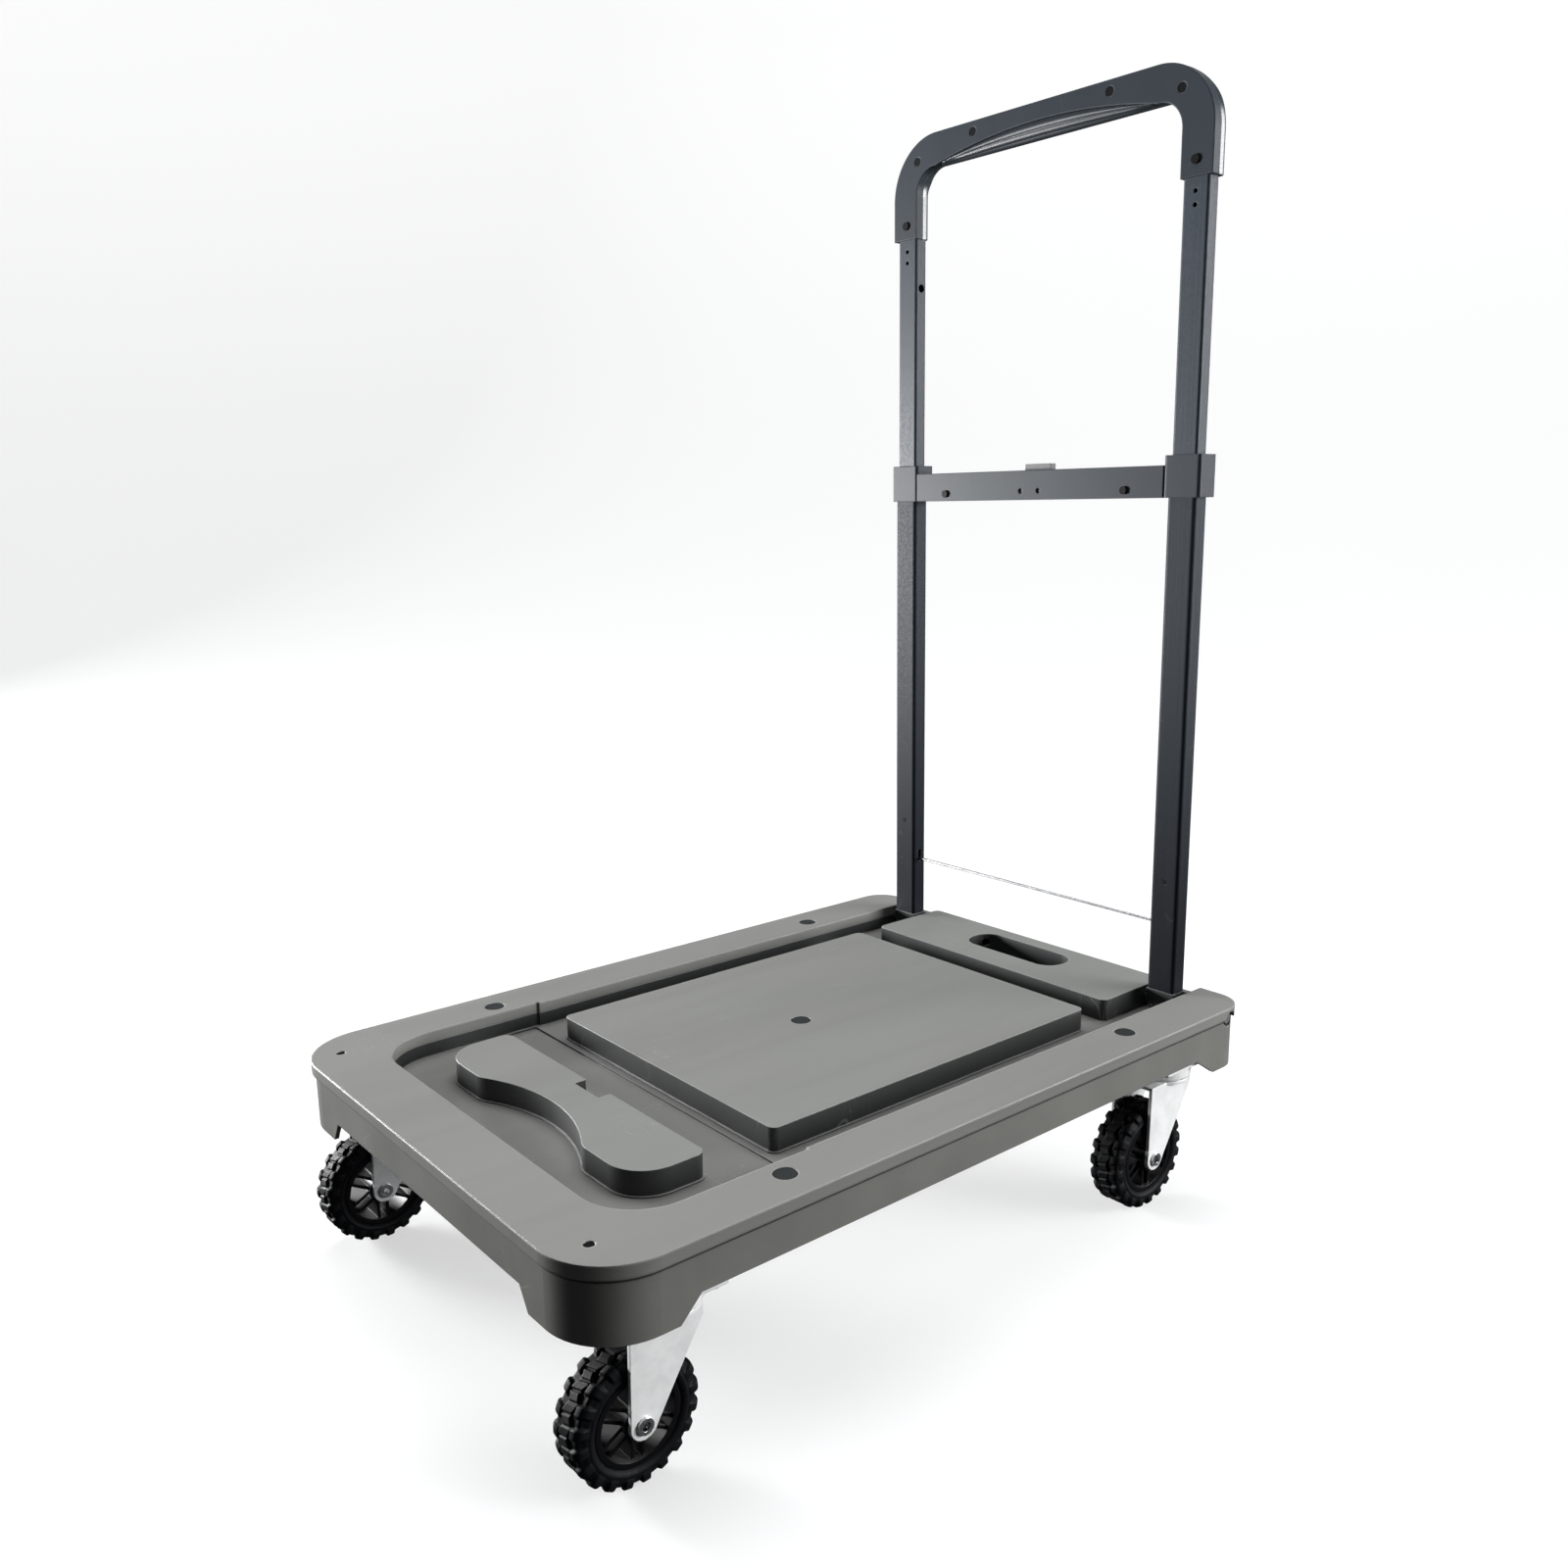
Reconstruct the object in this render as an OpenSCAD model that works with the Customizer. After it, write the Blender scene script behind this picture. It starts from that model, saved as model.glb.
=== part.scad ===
// Folding platform cart: a moulded deck on four swivel casters, with a telescopic
// handle that folds flat into channels in the deck.
// X is across the deck, -Y is the front, the handle stands at +Y, Z is up.
// The origin is on the floor under the middle of the deck.

/* [Deck] */
// Width of the deck
deck_w = 396; // [320:1:480]
// Length of the deck
deck_l = 578; // [470:1:700]
// Plan radius of the two front corners
front_corner_r = 46; // [36:1:60]
// Plan radius of the two rear corners
rear_corner_r = 22; // [15:1:40]
// Width of each side rail
side_rim_w = 40; // [33:1:50]
// Width of the front rail
front_rim_w = 45; // [36:1:60]
// Plan radius of the recess at the front corners
recess_corner_r = 40; // [20:1:50]
// Depth of the recess below the deck top
recess_d = 18.5; // [17:0.5:24]
// Thickness of the recess floor
floor_t = 3; // [2:0.5:5]
// Height of the caster pads below the recess floor
pad_drop = 13.5; // [7:0.5:20]
// Height of the edge of the rim cap
cap_h = 8.4; // [6:0.2:10]
// Wall of the moulded covers
cover_t = 2.6; // [2:0.2:3.4]
// Height of the skirt, measured from the deck top
skirt_h = 33; // [28:1:40]
// Wall of the skirt
skirt_t = 3; // [2:0.5:4]
// How far the corner bumpers hang below the skirt
bumper_drop = 14; // [8:1:18]

/* [Deck panels] */
// Width of each side channel, where a handle tube lies
side_channel_w = 34; // [30:1:44]
// Length of the front channel, where the grip lies
front_channel_w = 34; // [30:1:44]
// Length of the front pad
pad_l = 52; // [40:1:65]
// Half width of the finger scoop in the front pad
scoop_half = 65; // [45:1:80]
// Depth of the finger scoop
scoop_d = 18; // [8:1:22]
// Length of the cross channel, where the crossbar lies
cross_channel_w = 47.5; // [36:0.5:60]
// Length of the rear channel, where the release wire lies
wire_channel_w = 24; // [16:1:30]
// Length of the rear panel
rear_panel_l = 75; // [62:1:95]
// How far the panel tops lie below the rim
panel_sink = 1.5; // [0.5:0.5:3]
// Length of the hand slot
slot_l = 98; // [72:1:120]
// Width of the hand slot
slot_w = 34; // [24:1:38]
// Diameter of the cover plugs
plug_d = 15; // [12:0.5:18]

/* [Handle] */
// Width of the lower tubes
tube_w = 24; // [20:0.5:25]
// Depth of the lower tubes
tube_d = 15; // [14:0.5:16]
// Wall of all the tubes
tube_t = 1.2; // [1:0.1:1.6]
// Gap between an upper tube and the inside of a lower tube
tube_gap = 0.3; // [0.3:0.1:0.9]
// Gap between a lower tube and the middle panel
tube_side_gap = 4; // [3:0.5:6]
// Distance of the handle pivot from the rear edge
pivot_inset = 20; // [17:1:26]
// Diameter of the pivot bolt
pivot_d = 6; // [5:0.5:6.5]
// Travel of the telescopic part
travel = 164; // [120:1:180]
// Height of the collars
collar_h = 30; // [26:1:36]
// Height of the crossbar
crossbar_h = 23; // [21:1:26]
// Height of the grip bar
grip_h = 25; // [20:1:29]
// Length of each grip leg below the bar
grip_leg = 53; // [44:1:56]
// Wall of the crossbar and grip shells
shell_t = 2.4; // [1.8:0.1:3]
// Diameter of the release wire
wire_d = 2.2; // [1.8:0.1:4]

/* [Casters] */
// Outer diameter of the wheels
wheel_d = 80; // [65:1:100]
// Width of the tyres
tyre_w = 26; // [20:1:30]
// Thickness of the tyres
tyre_t = 13; // [9:1:16]
// Diameter of the axle bolts
axle_d = 8; // [6:0.5:10]
// Trail from the swivel axis to the axle
trail = 25; // [18:1:30]
// Thickness of the fork sheet
fork_t = 2.5; // [2:0.1:3]
// Distance of the swivel axes from the side edges
caster_side = 32; // [31:1:40]
// Distance of the front swivel axes from the front edge
caster_front = 66; // [55:1:85]
// Distance of the rear swivel axes from the rear edge
caster_rear = 62; // [55:1:85]

/* [Hidden] */

$fn = 64;
eps = 0.01;
// clearance of a running fit, on the radius
run_fit = 0.05;
// clearance of a loose hole, on the radius
loose = 0.25;

// caster stack, from the floor up
axle_z = wheel_d / 2;
// the crown turns just below the corner bumpers
wheel_gap = 14.5;
crown_z = wheel_d + wheel_gap;
crown_top = crown_z + fork_t;
race_t = 2;
ball_r = 3;
ball_ring_r = 16.5;
ball_count = 12;
ball_z = crown_top + race_t + ball_r + run_fit;
plate_t = 2.5;
plate_z = ball_z + ball_r + run_fit + race_t;
caster_top = plate_z + plate_t;
plate_half = 26;
plate_hole = 20;

// deck levels
floor_z = caster_top + pad_drop;
floor_top = floor_z + floor_t;
deck_top = floor_top + recess_d;
cap_z = deck_top - cap_h;
skirt_z = deck_top - skirt_h;
bumper_z = skirt_z - bumper_drop;
panel_top = deck_top - panel_sink;

// deck plan
half_w = deck_w / 2;
half_l = deck_l / 2;
lip_t = 2.2;
skirt_inset = lip_t + 0.2;
tray_inset = skirt_inset + skirt_t;
recess_half = half_w - side_rim_w;
// the recess is a little wider where the collars and the grip lie
recess_widen = 2;
recess_front = -half_l + front_rim_w;
pad_front = recess_front + front_channel_w;
pad_rear = pad_front + pad_l;
panel_front = pad_rear + cross_channel_w;
rear_panel_front = half_l - rear_panel_l;
panel_rear = rear_panel_front - wire_channel_w;
panel_half = recess_half - side_channel_w;
panel_r = 5;
pad_front_r = 26;
pad_rear_r = 7;
// the cross channel is a little deeper than the rest of the recess
well_d = 1.4;
// foot of the panel and of the pad: a low ledge all round
ledge_w = 1;
ledge_h = 1;
pad_side_gap = 3;
scoop_fillet_r = 20;
slot_inset = 31;
slot_y = half_l - slot_inset;
centre_plug_in = 127.5;
centre_plug_y = panel_front + centre_plug_in;
plug_side = 24;
plug_from_front = 147;
plug_from_rear = 117;
plug_places = [for (s = [-1, 1], y = [-half_l + plug_from_front, half_l - plug_from_rear])
    [s * (half_w - plug_side), y]];
front_screw_side = 33;
front_screw_in = 23;
front_screw_x = half_w - front_screw_side;
front_screw_y = -half_l + front_screw_in;
front_screw_d = 6.5;
// lower edge of the skirt: length of the bumpers and of their slopes
front_bumper_l = 72;
front_bumper_slope = 15;
rear_bumper_l = 58;
rear_bumper_slope = 23;
end_bumper_w = 73;
end_bumper_slope = 9;
bolt_head_r = pivot_d / 2 + 1.2;
bolt_hole_r = pivot_d / 2 + 3.2;
post_r = 5;

// handle, measured from the pivot axis
pivot_y = half_l - pivot_inset;
pivot_z = deck_top - 9;
tube_x = panel_half + tube_side_gap + tube_w / 2;
tube_in_w = tube_w - 2 * tube_t;
tube_in_d = tube_d - 2 * tube_t;
upper_w = tube_in_w - 2 * tube_gap;
upper_d = tube_in_d - 2 * tube_gap;
fold_gap = 1.5;
shoe_r = tube_d / 2;
shoe_h = 8;
collar_z = pivot_z + pivot_y - panel_front + fold_gap;
collar_top = collar_z + collar_h;
collar_front = tube_d / 2 + 1.1;
collar_back = tube_d / 2 + 3.9;
collar_in = 3;
collar_out = 3.5;
lower_top = collar_top - 4;
wire_z = pivot_z + pivot_y - rear_panel_front + wire_d / 2 + 4.25;
bar_in = tube_x - tube_w / 2 - collar_in;
crossbar_top = collar_z + crossbar_h;
lock_z = collar_z + 12;
// the folded and shortened handle ends this far behind the front rail
grip_gap = 3;
grip_top = pivot_z + pivot_y - recess_front - grip_gap + travel;
grip_bar_z = grip_top - grip_h;
grip_leg_z = grip_bar_z - grip_leg;
// the legs stand a little beyond the tubes, more on the outer side
grip_in = tube_x - upper_w / 2 - 1.4;
grip_out = tube_x + upper_w / 2 + 3.4;
grip_front_d = upper_d / 2 + 1.6;
grip_leg_d = upper_d / 2 + 2;
grip_back_d = 12;
grip_face_h = 13;
grip_in_r = 20;
upper_top = grip_bar_z - 9;
upper_foot = lock_z - 35;
lock_travel = 5;
lock_pin_r = 3;
lock_tip = tube_x - upper_w / 2 - 0.4;
peg_r = 2;
peg_x = 18;
peg_len = 6.3;
button_y = 3.5;
button_t = 2.6;
button_half = 26;
tab_half = 13;
tab_rise = 5;
notch_half = tab_half + 2;
notch_d = 9;
// room behind the handle foot as it folds
stop_gap = 1.8;
release_travel = 6;
slider_t = 3;
slider_w = pivot_d + 4;
slider_top = wire_z + 9;
stop_pin_z = slider_top + 26;
stop_pin_r = 2;
screw_r = 1.8;

// ---------- plans ----------

// rounded rectangle from [x0, y0] to [x1, y1]
module round_plan(x0, y0, x1, y1, r) {
    translate([x0 + r, y0]) square([x1 - x0 - 2 * r, y1 - y0]);
    translate([x0, y0 + r]) square([x1 - x0, y1 - y0 - 2 * r]);
    for (x = [x0 + r, x1 - r], y = [y0 + r, y1 - r])
        translate([x, y]) circle(r);
}

// rectangle of half sizes w and l, with one radius in front and one behind
module two_end_plan(w, l, front_r, rear_r) {
    translate([-w, front_r - l]) square([2 * w, 2 * l - front_r - rear_r]);
    for (end = [[-1, front_r], [1, rear_r]]) {
        r = end[1];
        translate([r - w, end[0] < 0 ? -l : l - r]) square([2 * (w - r), r]);
        for (s = [-1, 1])
            translate([s * (w - r), end[0] * (l - r)]) circle(r);
    }
}

// deck outline moved in by inset
module deck_plan(inset) {
    two_end_plan(half_w - inset, half_l - inset, front_corner_r - inset, rear_corner_r - inset);
}

// recess outline moved out by grow; it runs out past the rear edge
module recess_plan(grow) {
    w = recess_half + grow;
    wide = w + recess_widen;
    y0 = recess_front - grow;
    r = recess_corner_r + grow;
    back = half_l + 5;
    translate([-wide + r, y0]) square([2 * (wide - r), back - y0]);
    translate([-w, y0 + r]) square([2 * w, back - y0 - r]);
    translate([-wide, y0 + r]) square([2 * wide, panel_front - 2 - y0 - r]);
    for (s = [-1, 1])
        translate([s * (wide - r), y0 + r]) circle(r);
}

// the two side rails and the front rail, narrowed by inset on every side
module rim_plan(inset) {
    difference() {
        deck_plan(inset);
        recess_plan(inset);
    }
}

// a box open below, with its walls and top of one thickness
module lid(x0, y0, x1, y1, z0, z1, r) {
    difference() {
        translate([0, 0, z0]) linear_extrude(z1 - z0) round_plan(x0, y0, x1, y1, r);
        translate([0, 0, z0 - eps]) linear_extrude(z1 - z0 - cover_t + eps)
            round_plan(x0 + cover_t, y0 + cover_t, x1 - cover_t, y1 - cover_t, r - cover_t);
    }
}

// cylinder along X from x0 to x1
module x_rod(x0, x1, y, z, r, sides = $fn) {
    translate([x0, y, z]) rotate([0, 90, 0]) cylinder(r = r, h = x1 - x0, $fn = sides);
}

// cylinder along Y from y0 to y1
module y_rod(x, y0, y1, z, r) {
    translate([x, y0, z]) rotate([-90, 0, 0]) cylinder(r = r, h = y1 - y0);
}

// screw pointing along -Z with its head top at the origin
module down_screw(head_r, head_t, shank_r, len) {
    translate([0, 0, -head_t]) cylinder(r = head_r, h = head_t);
    translate([0, 0, -len]) cylinder(r = shank_r, h = len - head_t + eps);
}

// coil spring along Z as stacked turns of one wire
module coil(r, wire_r, len, turns) {
    sides = 6;
    steps = 12;
    count = turns * steps;
    points = [for (i = [0:count], k = [0:sides - 1])
        let (a = 360 * i / steps, b = 360 * k / sides, d = r + wire_r * cos(b))
        [d * cos(a), d * sin(a), wire_r + (len - 2 * wire_r) * i / count + wire_r * sin(b)]];
    tube = [for (i = [0:count - 1], k = [0:sides - 1])
        let (n = (k + 1) % sides)
        [i * sides + k, i * sides + n, (i + 1) * sides + n, (i + 1) * sides + k]];
    ends = [[for (k = [sides - 1:-1:0]) k], [for (k = [0:sides - 1]) count * sides + k]];
    polyhedron(points, concat(tube, ends), convexity = 10);
}

// ---------- deck ----------

module rim_cap() {
    color([0.56, 0.57, 0.56]) difference() {
        translate([0, 0, cap_z]) linear_extrude(cap_h) rim_plan(0);
        translate([0, 0, cap_z - eps]) linear_extrude(cap_h - cover_t + eps) rim_plan(lip_t);
        for (p = plug_places)
            translate([p[0], p[1], cap_z]) cylinder(d = plug_d, h = cap_h + 1);
        for (s = [-1, 1]) {
            translate([s * front_screw_x, front_screw_y, cap_z])
                cylinder(d = front_screw_d, h = cap_h + 1);
            bolt_head_hole(s);
        }
        x_rod(-half_w, half_w, pivot_y, pivot_z, pivot_d / 2 + loose);
    }
}

// room for the head of a pivot bolt in the side walls
module bolt_head_hole(s) {
    translate([s * half_w, pivot_y, pivot_z]) rotate([0, 90, 0])
        cylinder(r = bolt_hole_r, h = 4 * tray_inset, center = true);
}

// skirt edge between two bumpers: flat at the skirt level with a slope at each end
module skirt_cut(from, to, slope_from, slope_to) {
    polygon([[from - slope_from, bumper_z - 1], [from, skirt_z],
        [to, skirt_z], [to + slope_to, bumper_z - 1]]);
}

module skirt_frame() {
    color([0.50, 0.51, 0.50]) difference() {
        translate([0, 0, bumper_z]) linear_extrude(deck_top - cover_t - bumper_z) difference() {
            deck_plan(skirt_inset);
            deck_plan(tray_inset);
        }
        // side walls between the front bumpers and the rear tabs
        translate([-half_w - 1, 0, 0]) rotate([90, 0, 90]) linear_extrude(deck_w + 2)
            skirt_cut(-half_l + front_bumper_l, half_l - rear_bumper_l,
                front_bumper_slope, rear_bumper_slope);
        // front and rear walls between the corners
        for (y = [-half_l - 1, half_l - tray_inset - 1])
            translate([0, y + tray_inset + 2, 0]) rotate([90, 0, 0])
                linear_extrude(tray_inset + 2)
                    skirt_cut(-half_w + end_bumper_w, half_w - end_bumper_w,
                        end_bumper_slope, end_bumper_slope);
        // the rear wall stops at the floor between the side rails
        translate([-recess_half - lip_t, half_l - rear_corner_r, floor_top])
            cube([2 * (recess_half + lip_t), rear_corner_r, deck_top]);
        for (s = [-1, 1])
            bolt_head_hole(s);
    }
}

module tray_post(x, y) {
    translate([x, y, floor_z]) cylinder(r = post_r, h = deck_top - cover_t - floor_z);
}

module hand_slot(grow) {
    round_plan(-slot_l / 2 - grow, slot_y - slot_w / 2 - grow,
        slot_l / 2 + grow, slot_y + slot_w / 2 + grow, slot_w / 2 - 1 + grow);
}

module deck_tray() {
    rib_t = 2.5;
    rib_z = skirt_z + 1;
    stop_y = pivot_y + tube_d / 2 + stop_gap;
    color([0.30, 0.31, 0.31]) difference() {
        union() {
            translate([0, 0, floor_z]) linear_extrude(floor_t) deck_plan(tray_inset);
            // wall around the recess, up to the rim cap
            translate([0, 0, floor_top - eps]) linear_extrude(cap_z - floor_top + eps)
                intersection() {
                    difference() {
                        recess_plan(lip_t);
                        recess_plan(0);
                    }
                    deck_plan(tray_inset);
                }
            // stops behind the handle tubes
            for (s = [-1, 1])
                translate([s > 0 ? panel_half + 0.5 : -recess_half, stop_y, floor_top - eps])
                    cube([side_channel_w - 0.5, half_l - tray_inset - stop_y, recess_d - 3]);
            for (p = plug_places) tray_post(p[0], p[1]);
            for (s = [-1, 1]) tray_post(s * front_screw_x, front_screw_y);
            // caster pads
            translate([0, 0, caster_top]) linear_extrude(pad_drop + eps) intersection() {
                deck_plan(tray_inset);
                for (c = caster_places)
                    translate([c[0], c[1]]) square(2 * plate_half + 1, center = true);
            }
            // ribs under the floor
            for (x = [-0.5, -0.25, 0, 0.25, 0.5])
                translate([x * deck_w / 2 - rib_t / 2, -half_l + tray_inset + 1, rib_z])
                    cube([rib_t, deck_l - 2 * tray_inset - 2, floor_z - rib_z + eps]);
            for (y = [-0.6, -0.3, 0, 0.3, 0.6])
                translate([-half_w + tray_inset + 1, y * half_l - rib_t / 2, rib_z])
                    cube([deck_w - 2 * tray_inset - 2, rib_t, floor_z - rib_z + eps]);
            // frame round the hand slot
            translate([0, 0, rib_z]) linear_extrude(floor_z - rib_z + eps) hand_slot(rib_t);
        }
        linear_extrude(deck_top) hand_slot(0);
        translate([-recess_half, pad_rear + 2, floor_top - well_d])
            cube([2 * recess_half, cross_channel_w - 8, well_d + 1]);
        for (p = plug_places)
            translate([p[0], p[1], floor_z - 1]) cylinder(r = screw_r, h = deck_top - floor_z);
        for (s = [-1, 1])
            translate([s * front_screw_x, front_screw_y, floor_z - 1])
                cylinder(r = screw_r, h = deck_top - floor_z);
        for (c = caster_places, i = [-1, 1], j = [-1, 1])
            translate([c[0] + i * plate_hole, c[1] + j * plate_hole, caster_top - 1])
                cylinder(r = screw_r + 0.2, h = 12);
        for (s = [-1, 1])
            x_rod(s > 0 ? panel_half : -half_w, s > 0 ? half_w : -panel_half,
                pivot_y, pivot_z, pivot_d / 2 + loose);
        for (s = [-1, 1])
            translate([s * tube_x, pivot_y, 0]) latch_slot(floor_z - 1, recess_d);
    }
}

// slot for the tip of a latch slider
module latch_slot(z, h) {
    translate([-slider_t / 2 - loose, -slider_w / 2 - loose, z])
        cube([slider_t + 2 * loose, slider_w + 2 * loose, h]);
}

module latch_strikers() {
    plate = 1.2;
    color([0.62, 0.63, 0.64]) for (s = [-1, 1])
        translate([s * tube_x, pivot_y, 0]) difference() {
            translate([-10, -7, floor_top]) cube([20, 14, plate]);
            latch_slot(floor_top - 1, plate + 2);
        }
}

module platform_panel() {
    rib_t = 2;
    plug_boss = plug_d / 2 + 3;
    color([0.57, 0.58, 0.57]) difference() {
        union() {
            lid(-panel_half, panel_front, panel_half, panel_rear, floor_top, panel_top, panel_r);
            translate([0, 0, floor_top]) linear_extrude(ledge_h) difference() {
                round_plan(-panel_half - ledge_w, panel_front - ledge_w,
                    panel_half + ledge_w, panel_rear + ledge_w, panel_r + ledge_w);
                round_plan(1 - panel_half, panel_front + 1, panel_half - 1, panel_rear - 1,
                    panel_r - 1);
            }
            for (x = [-0.5, 0.5])
                translate([x * panel_half - rib_t / 2, panel_front + 1, floor_top + 1])
                    cube([rib_t, panel_rear - panel_front - 2, panel_top - floor_top - 2]);
            for (y = [0.25, 0.75])
                translate([1 - panel_half, panel_front + y * (panel_rear - panel_front), floor_top + 1])
                    cube([2 * panel_half - 2, rib_t, panel_top - floor_top - 2]);
            translate([0, centre_plug_y, floor_top]) cylinder(r = plug_boss, h = panel_top - floor_top - 1);
        }
        translate([0, centre_plug_y, floor_top - 1]) cylinder(r = screw_r, h = recess_d);
        translate([0, centre_plug_y, panel_top - 4]) cylinder(d = plug_d, h = 5);
    }
}

module front_pad() {
    h = panel_top - floor_top;
    scoop_r = (scoop_half * scoop_half + scoop_d * scoop_d) / (2 * scoop_d);
    scoop_y = pad_front - scoop_r + scoop_d;
    // centre of the round that leads from the front edge into the scoop
    fillet_y = pad_front + scoop_fillet_r;
    fillet_x = sqrt(pow(scoop_r + scoop_fillet_r, 2) - pow(fillet_y - scoop_y, 2));
    module plan(inset) {
        edge = pad_front + inset - 1;
        part = (scoop_r + inset - 1) / (scoop_r + scoop_fillet_r);
        difference() {
            translate([0, (pad_front + pad_rear) / 2])
                two_end_plan(panel_half - pad_side_gap - inset, pad_l / 2 - inset,
                    pad_front_r - inset, pad_rear_r - inset);
            // finger scoop in the front edge
            translate([0, scoop_y]) circle(scoop_r + inset, $fn = 256);
            for (s = [-1, 1]) difference() {
                polygon([[s * fillet_x, fillet_y], [s * fillet_x, edge], [s * scoop_half, edge],
                    [s * fillet_x * part, scoop_y + (fillet_y - scoop_y) * part]]);
                translate([s * fillet_x, fillet_y]) circle(scoop_fillet_r - inset + 0.05);
            }
            // notch that clears the lock button
            translate([-notch_half - inset, pad_rear - notch_d - inset])
                square([2 * (notch_half + inset), notch_d + 4]);
        }
    }
    color([0.57, 0.58, 0.57]) {
        difference() {
            translate([0, 0, floor_top]) linear_extrude(h) plan(0);
            translate([0, 0, floor_top - eps]) linear_extrude(h - cover_t + eps) plan(cover_t);
        }
        translate([0, 0, floor_top]) linear_extrude(ledge_h) difference() {
            plan(-ledge_w);
            plan(1);
        }
    }
}

module rear_panel() {
    color([0.55, 0.56, 0.55]) difference() {
        union() {
            lid(-panel_half, rear_panel_front, panel_half, half_l, floor_top, panel_top, panel_r);
            translate([0, 0, floor_top]) linear_extrude(panel_top - floor_top - eps)
                hand_slot(cover_t);
        }
        translate([0, 0, floor_top - 1]) linear_extrude(recess_d + 2) hand_slot(0);
        x_rod(-half_w, half_w, pivot_y, pivot_z, pivot_d / 2 + loose);
    }
}

module cover_plug(z) {
    translate([0, 0, z - 1.8]) cylinder(d = plug_d - 2 * run_fit, h = 1.5);
}

module rail_plugs() {
    color([0.16, 0.17, 0.17]) for (p = plug_places)
        translate([p[0], p[1], 0]) cover_plug(deck_top);
}

module centre_plug() {
    color([0.16, 0.17, 0.17]) translate([0, centre_plug_y, 0]) cover_plug(panel_top);
}

module rim_screws() {
    color([0.7, 0.7, 0.7]) for (p = plug_places)
        translate([p[0], p[1], deck_top - cover_t]) mirror([0, 0, 1])
            translate([0, 0, 1]) cylinder(r = screw_r - run_fit, h = deck_top - cover_t - floor_z);
}

module front_screws() {
    color([0.7, 0.7, 0.7]) for (s = [-1, 1])
        translate([s * front_screw_x, front_screw_y, deck_top - cover_t + 2])
            down_screw(front_screw_d / 2 - 2 * run_fit, 2 - eps, screw_r - run_fit, 18);
}

module pivot_bolts() {
    color([0.6, 0.6, 0.62]) for (s = [0, 1]) mirror([s, 0, 0]) {
        x_rod(panel_half - cover_t - 6, half_w - tray_inset - 1, pivot_y, pivot_z, pivot_d / 2);
        x_rod(half_w - tray_inset - 1, half_w - tray_inset + 2, pivot_y, pivot_z, bolt_head_r);
    }
}

module pivot_nuts() {
    color([0.6, 0.6, 0.62]) for (s = [0, 1]) mirror([s, 0, 0]) difference() {
        x_rod(panel_half - cover_t - 4.5, panel_half - cover_t, pivot_y, pivot_z,
            pivot_d * 0.78, 6);
        x_rod(panel_half - cover_t - 6, panel_half, pivot_y, pivot_z, pivot_d / 2 + run_fit);
    }
}

// ---------- casters ----------

caster_x = half_w - caster_side;
front_swivel = -half_l + caster_front;
rear_swivel = half_l - caster_rear;
caster_places = [for (y = [front_swivel, rear_swivel], s = [-1, 1]) [s * caster_x, y]];
king_r = 5;
king_head_r = 8;

module caster_plates() {
    color([0.72, 0.73, 0.75]) for (c = caster_places) translate([c[0], c[1], 0])
        difference() {
            union() {
                translate([-plate_half, -plate_half, plate_z])
                    cube([2 * plate_half, 2 * plate_half, plate_t]);
                translate([0, 0, plate_z - race_t]) cylinder(r = 23, h = race_t + eps);
                translate([0, 0, crown_top + 1.5]) cylinder(r = 23, h = plate_z - crown_top - 1.5);
            }
            translate([0, 0, crown_top]) cylinder(r = 20.5, h = plate_z - race_t - crown_top);
            translate([0, 0, crown_top]) cylinder(r = king_r + loose, h = 30);
            for (i = [-1, 1], j = [-1, 1])
                translate([i * plate_hole, j * plate_hole, plate_z - 1])
                    cylinder(r = screw_r + loose, h = plate_t + 2);
        }
}

module caster_screws() {
    color([0.7, 0.7, 0.7]) for (c = caster_places, i = [-1, 1], j = [-1, 1])
        translate([c[0] + i * plate_hole, c[1] + j * plate_hole, plate_z])
            mirror([0, 0, 1]) down_screw_up();
}

// pan head screw driven upward, with its head under the plate
module down_screw_up() {
    cylinder(r = 3.6, h = 2.2);
    translate([0, 0, -plate_t - 8]) cylinder(r = screw_r, h = plate_t + 8 + eps);
}

module kingpins() {
    color([0.68, 0.69, 0.7]) for (c = caster_places) translate([c[0], c[1], 0]) {
        translate([0, 0, crown_z - 2.6]) cylinder(r = king_head_r, h = 2.5);
        translate([0, 0, crown_z - 1]) cylinder(r = king_r, h = caster_top - crown_z + 1);
    }
}

module swivel_balls() {
    color([0.8, 0.8, 0.8]) for (c = caster_places, i = [0:ball_count - 1])
        translate([c[0], c[1], ball_z]) rotate(360 * i / ball_count)
            translate([ball_ring_r, 0, 0]) sphere(ball_r, $fn = 24);
}

fork_in = tyre_w / 2 + 1.6;
fork_out = fork_in + fork_t;
fork_end_r = 8.5;
fork_back = 15;

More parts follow.
